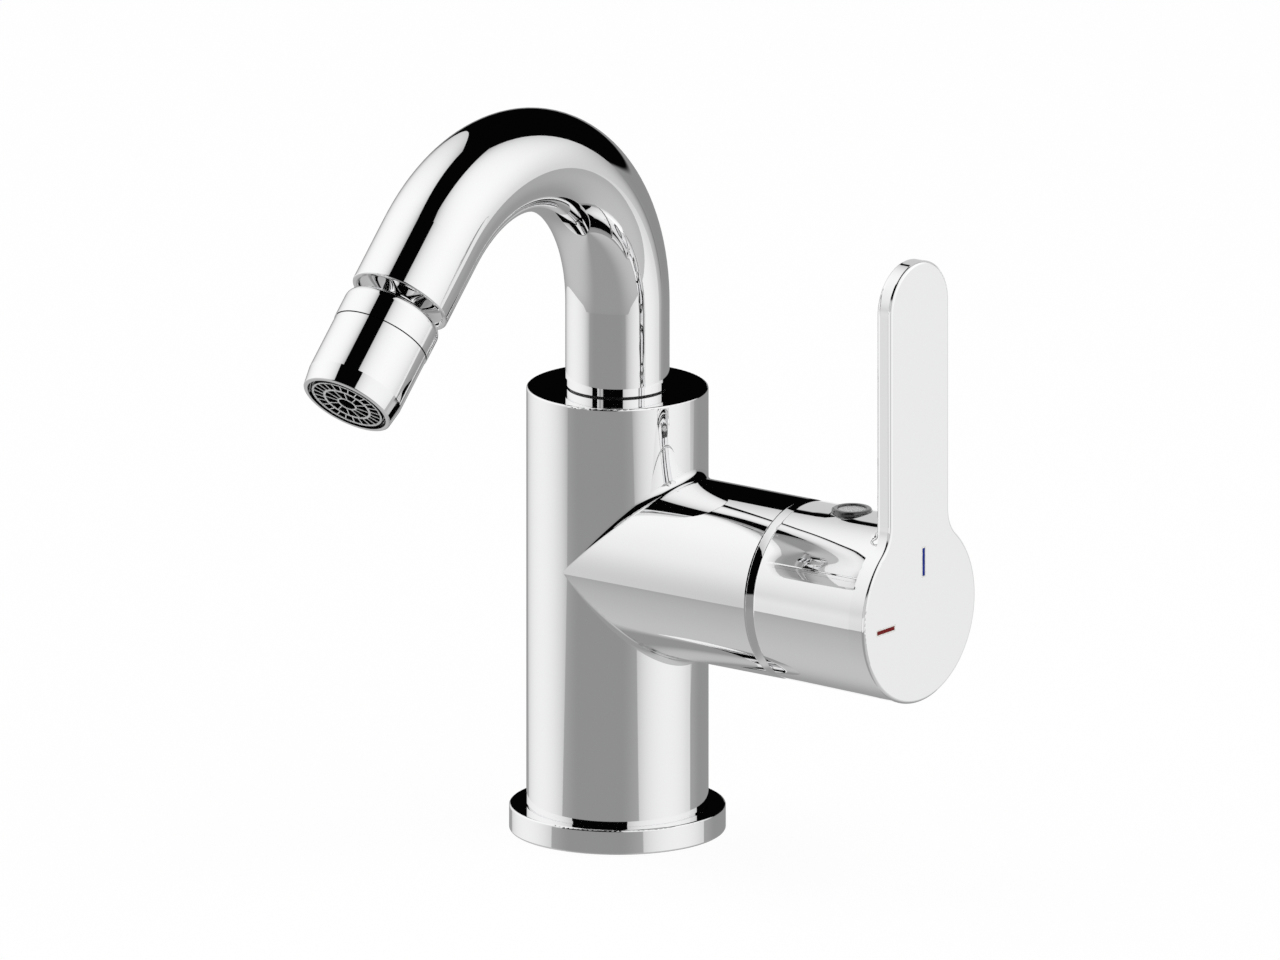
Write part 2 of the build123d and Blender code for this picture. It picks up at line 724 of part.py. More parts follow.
# Handle
cap_back_radius = cap_back_diameter / 2
cap_face_radius = cap_face_diameter / 2
paddle_back = cap_face - paddle_thickness
cap_floor = cap_face - cap_front_wall
tip_height = paddle_reach - paddle_width / 2
plug_seat_height = branch_height + cap_back_radius - plug_sink
with BuildPart() as handle:
    # Paddle slab, with its back edges rounded
    with BuildSketch(across_branch(paddle_back)):
        with Locations((0, tip_height / 2)):
            Rectangle(paddle_width, tip_height)
        with Locations((0, tip_height)):
            Circle(paddle_width / 2)
    extrude(amount=paddle_thickness)
    fillet(handle.faces().sort_by(Axis.X)[0].edges(), paddle_back_rounding)
    # Cap behind the slab
    with BuildSketch(branch_section):
        Polygon(
            (cap_back, 0),
            (cap_back, cap_back_radius),
            (paddle_back, cap_face_radius),
            (paddle_back + paddle_back_rounding, cap_face_radius),
            (paddle_back + paddle_back_rounding, 0),
            align=None,
        )
    revolve(axis=branch_axis)
    fillet(handle.edges().filter_by(GeomType.CIRCLE).sort_by(Axis.X)[0], cap_back_rounding)
    back_root = (
        handle.edges()
        .filter_by(GeomType.CIRCLE)
        .filter_by_position(Axis.X, paddle_back - seal_clearance, paddle_back + seal_clearance)
        .filter_by_position(Axis.Z, branch_height + paddle_width / 2, branch_height + tip_height)
    )
    fillet(back_root, paddle_back_fillet)
    # Face plate: disc and paddle in one outline with hollow roots
    with BuildSketch(across_branch(paddle_back + paddle_back_rounding)) as face_outline:
        Circle(cap_face_radius)
        with Locations((0, tip_height / 2)):
            Rectangle(paddle_width, tip_height)
        with Locations((0, tip_height)):
            Circle(paddle_width / 2)
        roots = face_outline.vertices().filter_by_position(
            Axis.Y, paddle_width / 2, cap_face_radius
        )
        fillet(roots, paddle_root_radius)
    extrude(amount=paddle_thickness - paddle_back_rounding)
    fillet(handle.faces().sort_by(Axis.X)[-1].edges(), face_rounding)
    # Hollow behind the face, with the hub and its ribs
    with BuildSketch(branch_section):
        Polygon(
            (cap_back - overrun, 0),
            (cap_back - overrun, cap_back_radius - cap_edge_wall),
            (cap_back, cap_back_radius - cap_edge_wall),
            (cap_floor, cap_face_radius - cap_shell_wall),
            (cap_floor, 0),
            align=None,
        )
    revolve(axis=branch_axis, mode=Mode.SUBTRACT)
    with BuildSketch(across_branch(hub_rib_back)):
        with PolarLocations(0, hub_ribs, start_angle=45):
            Rectangle(
                cap_back_radius - cap_edge_wall / 2,
                hub_rib_thickness,
                align=(Align.MIN, Align.CENTER),
            )
    extrude(amount=cap_floor - hub_rib_back)
    with BuildSketch(across_branch(hub_back)):
        Circle(hub_diameter / 2)
    extrude(amount=cap_floor - hub_back)
    with BuildSketch(across_branch(hub_back - overrun)):
        Rectangle(hub_hole_half * 2, hub_hole_half * 2)
    extrude(amount=sleeve_end + seat_clearance - hub_back + overrun, mode=Mode.SUBTRACT)
    # Screw hole through the shell and the hub
    with BuildSketch(Plane.XY.offset(plug_seat_height)):
        with Locations((screw_reach, 0)):
            Circle(plug_collar_diameter / 2 + seat_clearance)
    extrude(amount=plug_proud + plug_sink, mode=Mode.SUBTRACT)
    with BuildSketch(Plane.XY.offset(branch_height + hub_diameter / 2 + overrun)):
        with Locations((screw_reach, 0)):
            Circle(plug_shank_diameter / 2 + seat_clearance)
    extrude(amount=cap_back_radius - hub_diameter / 2, mode=Mode.SUBTRACT)
    with BuildSketch(Plane.XY.offset(branch_height + sleeve_half)):
        with Locations((screw_reach, 0)):
            Circle(grub_diameter / 2 + thread_clearance)
    extrude(amount=hub_diameter / 2, mode=Mode.SUBTRACT)
    # Pockets of the cold and hot marks
    with BuildSketch(across_branch(cap_face - mark_depth)):
        with Locations((cold_mark_shift, cold_mark_reach)):
            Rectangle(mark_width, mark_length)
        with Locations((-hot_mark_reach, -hot_mark_drop)):
            Rectangle(mark_length, mark_width)
    extrude(amount=mark_depth, mode=Mode.SUBTRACT)
save(handle, "handle")

with BuildPart() as cold_mark:
    with BuildSketch(across_branch(cap_face - mark_depth)):
        with Locations((cold_mark_shift, cold_mark_reach)):
            Rectangle(mark_width, mark_length)
    extrude(amount=mark_depth)
save(cold_mark, "cold_mark")

with BuildPart() as hot_mark:
    with BuildSketch(across_branch(cap_face - mark_depth)):
        with Locations((-hot_mark_reach, -hot_mark_drop)):
            Rectangle(mark_length, mark_width)
    extrude(amount=mark_depth)
save(hot_mark, "hot_mark")

# Grub screw, plug and button
screw_axis = Axis((screw_reach, 0, 0), (0, 0, 1))
screw_section = Plane(origin=(screw_reach, 0, 0), x_dir=(1, 0, 0), z_dir=(0, -1, 0))
grub_foot = branch_height + stem_width / 2
with BuildPart() as grub_screw:
    with BuildSketch(Plane.XY.offset(grub_foot)):
        with Locations((screw_reach, 0)):
            Circle(grub_diameter / 2)
    extrude(amount=grub_length)
    with BuildSketch(Plane.XY.offset(grub_foot + grub_length - grub_socket_depth)):
        with Locations((screw_reach, 0)):
            RegularPolygon(grub_socket_diameter / 2, hex_sides)
    extrude(amount=grub_socket_depth, mode=Mode.SUBTRACT)
save(grub_screw, "grub_screw")

plug_top = branch_height + cap_back_radius + plug_proud
with BuildPart() as screw_plug:
    with BuildSketch(screw_section):
        Polygon(
            (0, plug_seat_height - plug_shank_length),
            (plug_shank_diameter / 2, plug_seat_height - plug_shank_length),
            (plug_shank_diameter / 2, plug_seat_height),
            (plug_collar_diameter / 2, plug_seat_height),
            (plug_collar_diameter / 2, plug_top),
            (plug_dish_diameter / 2, plug_top),
            (plug_dish_diameter / 2, plug_top - plug_dish_depth),
            (0, plug_top - plug_dish_depth),
            align=None,
        )
    revolve(axis=screw_axis)
    rim = screw_plug.edges().filter_by(GeomType.CIRCLE).group_by(Axis.Z)[-1]
    fillet(rim.sort_by(SortBy.RADIUS)[-1], plug_rim_rounding)
save(screw_plug, "screw_plug")

button_foot = plug_top - plug_dish_depth
button_radius = plug_dish_diameter / 2 - seal_clearance
button_top = button_foot + plug_button_thickness
button_hollow_radius = (button_radius**2 + plug_button_dish**2) / plug_button_dish / 2
with BuildPart() as plug_button:
    with BuildSketch(Plane.XY.offset(button_foot)):
        with Locations((screw_reach, 0)):
            Circle(button_radius)
    extrude(amount=plug_button_thickness)
    with Locations((screw_reach, 0, button_top + button_hollow_radius - plug_button_dish)):
        Sphere(button_hollow_radius, mode=Mode.SUBTRACT)
save(plug_button, "plug_button")

# Spout tube
spout_radius = spout_diameter / 2
spout_bore_radius = spout_radius - spout_wall
with BuildPart() as spout_tube:
    with BuildLine(Plane.YZ) as spout_path:
        rise = Line((0, collar_top), (0, spout_bend_start))
        bend = JernArc(rise @ 1, rise % 1, spout_bend_radius, spout_bend_angle)
        PolarLine(bend @ 1, spout_straight_length, direction=bend % 1)
    with BuildSketch(Plane.XY.offset(collar_top)):
        Circle(spout_radius)
        Circle(spout_bore_radius, mode=Mode.SUBTRACT)
    sweep()
    mouth_face = spout_tube.faces().filter_by(GeomType.PLANE).sort_by(Axis.Y)[0]
    fillet(mouth_face.edges(), spout_rim_rounding)
save(spout_tube, "spout_tube")

with BuildPart() as spout_collar:
    with BuildSketch(Plane.XY.offset(collar_foot)):
        Circle(collar_diameter / 2)
        Circle(nipple_neck_diameter / 2 + seat_clearance, mode=Mode.SUBTRACT)
    extrude(amount=collar_height)
save(spout_collar, "spout_collar")

with BuildPart() as slide_washer:
    with BuildSketch(Plane.XY.offset(body_top)):
        Circle(washer_outer_diameter / 2)
        Circle(washer_inner_diameter / 2, mode=Mode.SUBTRACT)
    extrude(amount=washer_thickness)
save(slide_washer, "slide_washer")

# Spout nipple, with grooves for the guide rings, the seals and the lock ring
nipple_radius = nipple_diameter / 2
nipple_foot = body_top - nipple_depth
nipple_head = collar_top + nipple_insert_length
socket_radius = socket_diameter / 2
guide_outer_radius = socket_radius - running_clearance
guide_inner_radius = guide_outer_radius - guide_ring_wall
spout_seal_radius = spout_seal_section / 2
spout_seal_orbit = socket_radius - seal_clearance - spout_seal_radius
lock_groove_radius = lock_ring_inner_diameter / 2 - lock_groove_play
slot_inner_radius = stop_pin_orbit - stop_pin_diameter / 2 - seat_clearance
slot_outer_radius = stop_pin_orbit + stop_pin_diameter / 2 + seat_clearance
pin_reach = degrees(asin((stop_pin_diameter / 2 + seat_clearance) / stop_pin_orbit))
slot_reach = swivel_angle + pin_reach
slot_start_angle = radians(quarter_turn - slot_reach)
slot_section = Plane(
    origin=(0, 0, 0),
    x_dir=(cos(slot_start_angle), sin(slot_start_angle), 0),
    z_dir=(sin(slot_start_angle), -cos(slot_start_angle), 0),
)
with BuildPart() as spout_nipple:
    with BuildSketch(column_section):
        Polygon(
            (nipple_bore_diameter / 2, nipple_foot),
            (nipple_radius, nipple_foot),
            (nipple_radius, collar_foot),
            (nipple_neck_diameter / 2, collar_foot),
            (nipple_neck_diameter / 2, collar_top),
            (spout_bore_radius - running_clearance, collar_top),
            (spout_bore_radius - running_clearance, nipple_head),
            (nipple_radius, nipple_head),
            (nipple_bore_diameter / 2, collar_top),
            align=None,
        )
        for depth in guide_ring_depths:
            with Locations((nipple_radius, body_top - depth - guide_ring_length / 2)):
                Rectangle(
                    (nipple_radius - guide_inner_radius + seal_clearance) * 2,
                    guide_ring_length + seat_clearance * 2,
                    mode=Mode.SUBTRACT,
                )
        for depth in spout_seal_depths:
            with Locations((nipple_radius, body_top - depth)):
                Rectangle(
                    (nipple_radius - spout_seal_orbit + spout_seal_radius + seal_clearance) * 2,
                    spout_seal_section + seat_clearance * 2,
                    mode=Mode.SUBTRACT,
                )
        with Locations((nipple_radius, lock_ring_height)):
            Rectangle(
                (nipple_radius - lock_groove_radius) * 2,
                lock_ring_thickness + lock_groove_play * 2,
                mode=Mode.SUBTRACT,
            )
    revolve(axis=Axis.Z)
    # Arc slot under the foot, which the stop pin runs in
    with BuildSketch(slot_section):
        with Locations(((slot_inner_radius + slot_outer_radius) / 2, nipple_foot)):
            Rectangle(
                slot_outer_radius - slot_inner_radius,
                stop_slot_depth * 2,
            )
    revolve(axis=Axis.Z, revolution_arc=slot_reach * 2, mode=Mode.SUBTRACT)
save(spout_nipple, "spout_nipple")

with BuildPart() as guide_rings:
    for depth in guide_ring_depths:
        with BuildSketch(Plane.XY.offset(body_top - depth - guide_ring_length)):
            Circle(guide_outer_radius)
            Circle(guide_inner_radius, mode=Mode.SUBTRACT)
        extrude(amount=guide_ring_length)
save(guide_rings, "guide_rings")

with BuildPart() as spout_seals:
    with BuildSketch(column_section):
        for depth in spout_seal_depths:
            with Locations((spout_seal_orbit, body_top - depth)):
                Circle(spout_seal_radius)
    revolve(axis=Axis.Z)
save(spout_seals, "spout_seals")

# Split ring that locks the spout in its socket, and the pin that stops its turn
with BuildPart() as lock_ring:
    with BuildSketch(Plane.XY.offset(lock_ring_height - lock_ring_thickness / 2)):
        Circle(lock_ring_outer_diameter / 2)
        Circle(lock_ring_inner_diameter / 2, mode=Mode.SUBTRACT)
        with Locations((-socket_radius, 0)):
            Rectangle(socket_radius, lock_ring_split, mode=Mode.SUBTRACT)
    extrude(amount=lock_ring_thickness)
save(lock_ring, "lock_ring")

with BuildPart() as stop_pin:
    with BuildSketch(Plane.XY.offset(socket_floor - stop_pin_sink)):
        with Locations((0, stop_pin_orbit)):
            Circle(stop_pin_diameter / 2)
    extrude(amount=stop_pin_sink + stop_pin_rise)
save(stop_pin, "stop_pin")

# Ball stud in the spout's mouth, with a domed flange, a neck and a bored ball
stud_radius = spout_bore_radius - running_clearance
stud_flange_radius = stud_flange_diameter / 2
stud_dome_radius = stud_dome_diameter / 2
stud_neck_radius = stud_neck_diameter / 2
stud_seal_radius = stud_seal_section / 2
stud_seal_orbit = spout_bore_radius - seal_clearance - stud_seal_radius
stud_dome_end = stud_dome_rise - stud_flange_recess
ball_radius = ball_diameter / 2
with BuildPart() as ball_stud:
    with BuildSketch(head_section):
        with BuildLine():
            Polyline(
                (stud_dome_end, stud_dome_radius),
                (stud_dome_end, stud_neck_radius),
                (ball_reach, stud_neck_radius),
                (ball_reach, 0),
                (-stud_insert_length, 0),
                (-stud_insert_length, stud_radius),
                (-stud_flange_recess * 2, stud_radius),
                (-stud_flange_recess * 2, stud_flange_radius),
                (-stud_flange_recess, stud_flange_radius),
            )
            TangentArc(
                (stud_dome_end, stud_dome_radius),
                (-stud_flange_recess, stud_flange_radius),
                tangent=(0, -1),
                tangent_from_first=False,
            )
        make_face()
        with Locations((stud_seal_reach, stud_radius)):
            Rectangle(
                stud_seal_section + seal_clearance * 2,
                (stud_radius - stud_seal_orbit + stud_seal_radius + seal_clearance) * 2,
                mode=Mode.SUBTRACT,
            )
    revolve(axis=head_axis)
    with BuildSketch(head_section):
        with Locations((ball_reach, 0)):
            Circle(ball_radius)
            Rectangle(ball_diameter, ball_radius, align=(Align.CENTER, Align.MIN), mode=Mode.INTERSECT)
    revolve(axis=head_axis)
    with BuildSketch(across_head(-stud_insert_length - overrun)):
        Circle(stud_bore_diameter / 2)
    extrude(amount=stud_insert_length + ball_reach + ball_radius + overrun * 2, mode=Mode.SUBTRACT)
save(ball_stud, "ball_stud")

with BuildPart() as stud_seal:
    with BuildSketch(head_section):
        with Locations((stud_seal_reach, stud_seal_orbit)):
            Circle(stud_seal_radius)
    revolve(axis=head_axis)
save(stud_seal, "stud_seal")

# Ball seat: a ring between the ball and the socket, round on both sides
seat_radius = seat_diameter / 2
with BuildPart() as ball_seat:
    with BuildSketch(head_section):
        with Locations((ball_reach, 0)):
            Circle(seat_radius)
            Circle(ball_radius + ball_clearance, mode=Mode.SUBTRACT)
            Rectangle(seat_length, seat_radius, align=(Align.CENTER, Align.MIN), mode=Mode.INTERSECT)
    revolve(axis=head_axis)
save(ball_seat, "ball_seat")

# Socket ring: the upper, shouldered part of the outlet head
ring_radius = ring_diameter / 2
socket_sphere_radius = seat_radius + ball_clearance
head_thread_radius = head_thread_diameter / 2
head_thread_start = head_seam - head_thread_length
with BuildPart() as socket_ring:
    with BuildSketch(head_section) as socket_profile:
        with Locations((head_start, ring_opening_diameter / 2)):
            Rectangle(
                head_seam - head_start - seam_groove,
                ring_radius - ring_opening_diameter / 2,
                align=(Align.MIN, Align.MIN),
            )
        shoulder = socket_profile.vertices().group_by(Axis.Y)[-1].sort_by(Axis.X)[0]
        fillet(shoulder, ring_shoulder)
        with Locations((ball_reach, 0)):
            Circle(socket_sphere_radius, mode=Mode.SUBTRACT)
        with Locations((head_start, ring_opening_diameter / 2)):
            Rectangle(
                ring_lip,
                socket_sphere_radius - ring_opening_diameter / 2,
                align=(Align.MIN, Align.MIN),
            )
        with Locations((head_thread_start, 0)):
            Rectangle(
                head_thread_length,
                head_thread_radius + thread_clearance,
                align=(Align.MIN, Align.MIN),
                mode=Mode.SUBTRACT,
            )
    revolve(axis=head_axis)
save(socket_ring, "socket_ring")

# Aerator housing: the lower part of the head, tapered towards the outlet
housing_radius = housing_diameter / 2
rim_radius = outlet_rim_diameter / 2
mouth_radius = outlet_mouth_diameter / 2
chamber_radius = aerator_chamber_diameter / 2
ball_seal_end = ball_seal_start + ball_seal_length
chamber_start = ball_seal_end + head_floor
with BuildPart() as aerator_housing:
    with BuildSketch(head_section):
        Polygon(
            (head_thread_start + seat_clearance, 0),
            (head_thread_start + seat_clearance, head_thread_radius),
            (head_seam, head_thread_radius),
            (head_seam, housing_radius),
            (head_taper_start, housing_radius),
            (head_end, rim_radius),
            (head_end, 0),
            align=None,
        )
    revolve(axis=head_axis)
    fillet(aerator_housing.edges().filter_by(GeomType.CIRCLE).sort_by(Axis.Z)[0], head_rounding)
    with BuildSketch(head_section):
        with Locations((ball_reach, 0)):
            Circle(socket_sphere_radius)
        with Locations((ball_seal_start, 0)):
            Rectangle(
                ball_seal_start,
                socket_sphere_radius,
                align=(Align.MAX, Align.MIN),
                mode=Mode.INTERSECT,
            )
        with Locations((ball_seal_start, 0)):
            Rectangle(
                ball_seal_length,
                ball_seal_diameter / 2 + seat_clearance,
                align=(Align.MIN, Align.MIN),
            )
        with Locations((ball_seal_end, 0)):
            Rectangle(head_floor, head_way_diameter / 2, align=(Align.MIN, Align.MIN))
        with Locations((chamber_start, 0)):
            Rectangle(head_end - chamber_start + overrun, chamber_radius, align=(Align.MIN, Align.MIN))
        with Locations((head_end - outlet_mouth_depth, 0)):
            Rectangle(outlet_mouth_depth + overrun, mouth_radius, align=(Align.MIN, Align.MIN))
    revolve(axis=head_axis, mode=Mode.SUBTRACT)
save(aerator_housing, "aerator_housing")

with BuildPart() as ball_seal:
    with BuildSketch(head_section):
        with Locations((ball_seal_start, 0)):
            Rectangle(ball_seal_length, ball_seal_diameter / 2, align=(Align.MIN, Align.MIN))
        with Locations((ball_reach, 0)):
            Circle(ball_radius + ball_clearance, mode=Mode.SUBTRACT)
        with Locations((ball_seal_start, 0)):
            Rectangle(
                ball_seal_length,
                head_way_diameter / 2,
                align=(Align.MIN, Align.MIN),
                mode=Mode.SUBTRACT,
            )
    revolve(axis=head_axis)
save(ball_seal, "ball_seal")

# Aerator: washer, domed screen, jet plate, core and outlet grille, in the water's order
fit_radius = chamber_radius - seat_clearance
with BuildPart() as aerator_washer:
    with BuildSketch(across_head(chamber_start)):
        Circle(fit_radius)
        Circle(washer_ring_inner_diameter / 2, mode=Mode.SUBTRACT)
    extrude(amount=washer_ring_thickness)
save(aerator_washer, "aerator_washer")

screen_place = chamber_start + washer_ring_thickness
screen_half = screen_dome_diameter / 2
with BuildPart() as aerator_screen:
    with BuildSketch(head_section):
        Polygon(
            (screen_place, fit_radius),
            (screen_place, screen_half),
            (screen_place - screen_rise, screen_half / 2),
            (screen_place - screen_rise, 0),
            (screen_place - screen_rise + screen_thickness, 0),
            (screen_place - screen_rise + screen_thickness, screen_half / 2),
            (screen_place + screen_thickness, screen_half),
            (screen_place + screen_thickness, fit_radius),
            align=None,
        )
    revolve(axis=head_axis)
save(aerator_screen, "aerator_screen")

jet_place = screen_place + screen_thickness
with BuildPart() as jet_plate:
    with BuildSketch(across_head(jet_place)):
        Circle(fit_radius)
        with PolarLocations(jet_orbit, jet_count):
            Circle(jet_diameter / 2, mode=Mode.SUBTRACT)
    extrude(amount=jet_plate_thickness)
save(jet_plate, "jet_plate")

core_place = jet_place + jet_plate_thickness
core_end = head_end - core_setback
core_radius = core_diameter / 2
core_bore_radius = core_radius - core_wall
with BuildPart() as aerator_core:
    with BuildSketch(head_section):
        Polygon(
            (core_place, core_bore_radius),
            (core_place, fit_radius),
            (core_place + core_flange_length, fit_radius),
            (core_place + core_flange_length, core_radius),
            (core_end, core_radius),
            (core_end, core_bore_radius),
            align=None,
        )
    revolve(axis=head_axis)
save(aerator_core, "aerator_core")

# Outlet grille: an outer row of radial cells, a ring, slanted spokes and a small ring
grille_place = head_end - grille_setback - grille_thickness
middle_outer_radius = middle_ring_outer_diameter / 2
middle_inner_radius = middle_ring_inner_diameter / 2
centre_outer_radius = centre_ring_outer_diameter / 2
centre_inner_radius = centre_ring_inner_diameter / 2
grille_radius = core_bore_radius - seal_clearance
rib_run = grille_radius - grille_rim / 2 - (middle_outer_radius + middle_inner_radius) / 2
spoke_run = (middle_outer_radius + middle_inner_radius - centre_outer_radius - centre_inner_radius) / 2
middle_ring_radius = (middle_outer_radius + middle_inner_radius) / 2
centre_ring_radius = (centre_outer_radius + centre_inner_radius) / 2
with BuildPart() as outlet_grille:
    # Rings
    with BuildSketch(across_head(grille_place)):
        Circle(grille_radius)
        Circle(grille_radius - grille_rim, mode=Mode.SUBTRACT)
        Circle(middle_outer_radius)
        Circle(middle_inner_radius, mode=Mode.SUBTRACT)
        Circle(centre_outer_radius)
        Circle(centre_inner_radius, mode=Mode.SUBTRACT)
    extrude(amount=grille_thickness)
    # Ribs and spokes, set back from the rings' front
    with BuildSketch(across_head(grille_place)):
        with PolarLocations(middle_ring_radius, outer_cells):
            Rectangle(rib_run, outer_rib_thickness, align=(Align.MIN, Align.CENTER))
        with PolarLocations(centre_ring_radius, middle_spokes):
            with Locations(Location((0, 0), middle_spoke_slant)):
                Rectangle(spoke_run, middle_spoke_thickness, align=(Align.MIN, Align.CENTER))
    extrude(amount=grille_thickness - cell_rib_setback)
save(outlet_grille, "outlet_grille")
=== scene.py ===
import json
from math import cos, pi, radians, sin, sqrt

import bmesh
import bpy
from bpy.props import FloatProperty, FloatVectorProperty, IntProperty, PointerProperty
from mathutils import Matrix, Vector

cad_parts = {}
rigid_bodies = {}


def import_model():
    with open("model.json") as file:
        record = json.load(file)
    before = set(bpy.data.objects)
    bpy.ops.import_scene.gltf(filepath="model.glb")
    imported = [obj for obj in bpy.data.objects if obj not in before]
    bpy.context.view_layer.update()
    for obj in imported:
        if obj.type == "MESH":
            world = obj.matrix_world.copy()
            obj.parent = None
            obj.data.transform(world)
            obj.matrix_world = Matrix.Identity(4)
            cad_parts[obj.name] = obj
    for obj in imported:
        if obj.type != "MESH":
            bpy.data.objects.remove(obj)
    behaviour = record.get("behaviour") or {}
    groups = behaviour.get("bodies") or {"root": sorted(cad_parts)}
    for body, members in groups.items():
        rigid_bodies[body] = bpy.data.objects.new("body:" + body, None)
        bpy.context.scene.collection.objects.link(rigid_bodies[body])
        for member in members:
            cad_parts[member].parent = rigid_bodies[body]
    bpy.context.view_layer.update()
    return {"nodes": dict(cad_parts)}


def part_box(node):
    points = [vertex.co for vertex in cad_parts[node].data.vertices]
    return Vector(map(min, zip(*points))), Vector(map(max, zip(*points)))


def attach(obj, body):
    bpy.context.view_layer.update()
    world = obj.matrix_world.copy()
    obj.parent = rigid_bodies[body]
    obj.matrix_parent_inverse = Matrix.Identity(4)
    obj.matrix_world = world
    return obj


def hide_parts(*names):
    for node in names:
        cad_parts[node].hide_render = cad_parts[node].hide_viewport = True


bl_info = {
    "name": "Bidet mixer dressing",
    "version": (1, 0, 0),
    "blender": (4, 5, 0),
    "location": "3D View > Sidebar > Mixer",
    "description": "Dresses a packed single lever bidet mixer with its finishes, small pieces and studio",
    "category": "Object",
}

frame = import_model()
MM = 0.001

# The view of the photograph: a parallel camera, by its turn round the mixer and its height
CAMERA_TURN = radians(37.07)
CAMERA_RISE = radians(15.0)
VIEW_RIGHT = Vector((cos(CAMERA_TURN), sin(CAMERA_TURN), 0))
VIEW_UP = Vector((
    -sin(CAMERA_TURN) * sin(CAMERA_RISE),
    cos(CAMERA_TURN) * sin(CAMERA_RISE),
    cos(CAMERA_RISE),
))
VIEW_BACK = Vector((
    sin(CAMERA_TURN) * cos(CAMERA_RISE),
    -cos(CAMERA_TURN) * cos(CAMERA_RISE),
    sin(CAMERA_RISE),
))
PHOTO_WIDTH_PIXELS = 1280
PIXELS_PER_MM = 4.0516
FRAME_WIDTH = PHOTO_WIDTH_PIXELS / PIXELS_PER_MM * MM
AIM_RIGHT = 5.566 * MM
AIM_UP = 85.72 * MM
CAMERA_DISTANCE = 1.6

# Azimuth of the right light panel; the left one stands opposite
PANEL_TURN = radians(66.5) + CAMERA_TURN - pi / 2

# Axes of the model
BRANCH_CENTRE = Vector((0, 0, 70.0)) * MM
HEAD_DIRECTION = Vector((0, -sqrt(0.5), -sqrt(0.5)))

# Meshes: how close points are merged, and the angle past which an edge stays sharp
MERGE_REACH = 0.002 * MM
SHARP_ANGLE = radians(32)

# Plug on the cap
PLUG_COLLAR_HEIGHT = 1.5 * MM
PLUG_SHANK_INSET = 1.15 * MM
PLUG_INNER_ROUNDING = 0.22 * MM
PLUG_FOOT_ROUNDING = 0.4 * MM
BUTTON_PLAY = 0.03 * MM

# Corner strip of the branch: how deep its edges lie in the metal, and its rows
STRIP_SINK = 0.3 * MM
STRIP_ROWS = 10
FLAT_CORNER = radians(0.5)

# Outlet's grille: inner and outer radius of its rings, and its ribs
RIM_WALL = 0.24 * MM
MIDDLE_RING = (5.85 * MM, 6.5 * MM)
CENTRE_RING = (2.2 * MM, 2.68 * MM)
RIB_WIDTH = 0.26 * MM
RIB_EDGE = 0.05 * MM
SPOKE_SLANT = radians(14)
CELL_START = 6.2 * MM
SPOKE_START = 2.45 * MM
SPOKE_END = 6.1 * MM
# Radius inside which the outlet's housing is painted black as shade, in millimetres
HOUSING_SHADE_RADIUS = 10.55

# Stage
FLOOR_HALF_SIZE = 6
FLOOR_DROP = 0.1 * MM
LAMP_AIM = Vector((0.02, -0.03, 0.09))


class MixerSizes(bpy.types.PropertyGroup):
    """Sizes of the small pieces that the dressing adds."""

    mark_outline: FloatProperty(
        name="Mark outline",
        description="Width of the white line round the cold and hot marks",
        default=0.4 * MM,
        subtype="DISTANCE",
        unit="LENGTH",
    )
    plug_rounding: FloatProperty(
        name="Plug rounding",
        description="Radius of the plug's outer rim",
        default=0.62 * MM,
        subtype="DISTANCE",
        unit="LENGTH",
    )
    plug_dish: FloatProperty(
        name="Plug dish",
        description="Depth of the hollow in the plug's button",
        default=0.35 * MM,
        subtype="DISTANCE",
        unit="LENGTH",
    )
    branch_fillet: FloatProperty(
        name="Branch fillet",
        description="Radius of the inner corner between the column and the side branch",
        default=2.2 * MM,
        subtype="DISTANCE",
        unit="LENGTH",
    )
    outlet_cells: IntProperty(
        name="Outlet cells",
        description="How many cells the outer row of the outlet has",
        default=24,
        min=8,
    )
    outlet_spokes: IntProperty(
        name="Outlet spokes",
        description="How many slanted spokes the inner row of the outlet has",
        default=12,
        min=4,
    )
    turns: IntProperty(
        name="Steps round",
        description="How many steps a turned piece has round its axis",
        default=96,
        min=24,
    )


class MixerFinish(bpy.types.PropertyGroup):
    """Colours of the mixer's finishes."""

    chrome: FloatVectorProperty(
        name="Chrome",
        description="Colour of the polished chrome plate",
        default=(0.93, 0.93, 0.935),
        subtype="COLOR",
        min=0,
        max=1,
    )
    chrome_roughness: FloatProperty(
        name="Chrome roughness",
        description="Roughness of the polished plate",
        default=0.018,
        min=0,
        max=1,
    )
    cold: FloatVectorProperty(
        name="Cold",
        description="Colour of the cold mark",
        default=(0.016, 0.034, 0.3),
        subtype="COLOR",
        min=0,
        max=1,
    )
    hot: FloatVectorProperty(
        name="Hot",
        description="Colour of the hot mark",
        default=(0.22, 0.013, 0.013),
        subtype="COLOR",
        min=0,
        max=1,
    )


class MixerStage(bpy.types.PropertyGroup):
    """Levels of the studio."""

    panel: FloatProperty(
        name="Panel level",
        description="Strength of the two tall light panels",
        default=1.03,
        min=0,
    )
    table: FloatProperty(
        name="Table level",
        description="Strength of the grey table that the chrome mirrors",
        default=0.285,
        min=0,
    )
    handle_back: FloatProperty(
        name="Handle's back panel",
        description="Strength of the panel behind the mixer that only the handle mirrors",
        default=0.62,
        min=0,
    )
    handle_face: FloatProperty(
        name="Handle's face panel",
        description="Strength of the panel that only the face of the handle mirrors",
        default=0.2,
        min=0,
    )
    handle_side: FloatProperty(
        name="Handle's side panel",
        description="Strength of the panel that only the front side of the handle mirrors",
        default=0.15,
        min=0,
    )
    handle_front: FloatProperty(
        name="Handle's front panel",
        description="Strength of the panel that only the front edges of the handle mirror",
        default=0.6,
        min=0,
    )


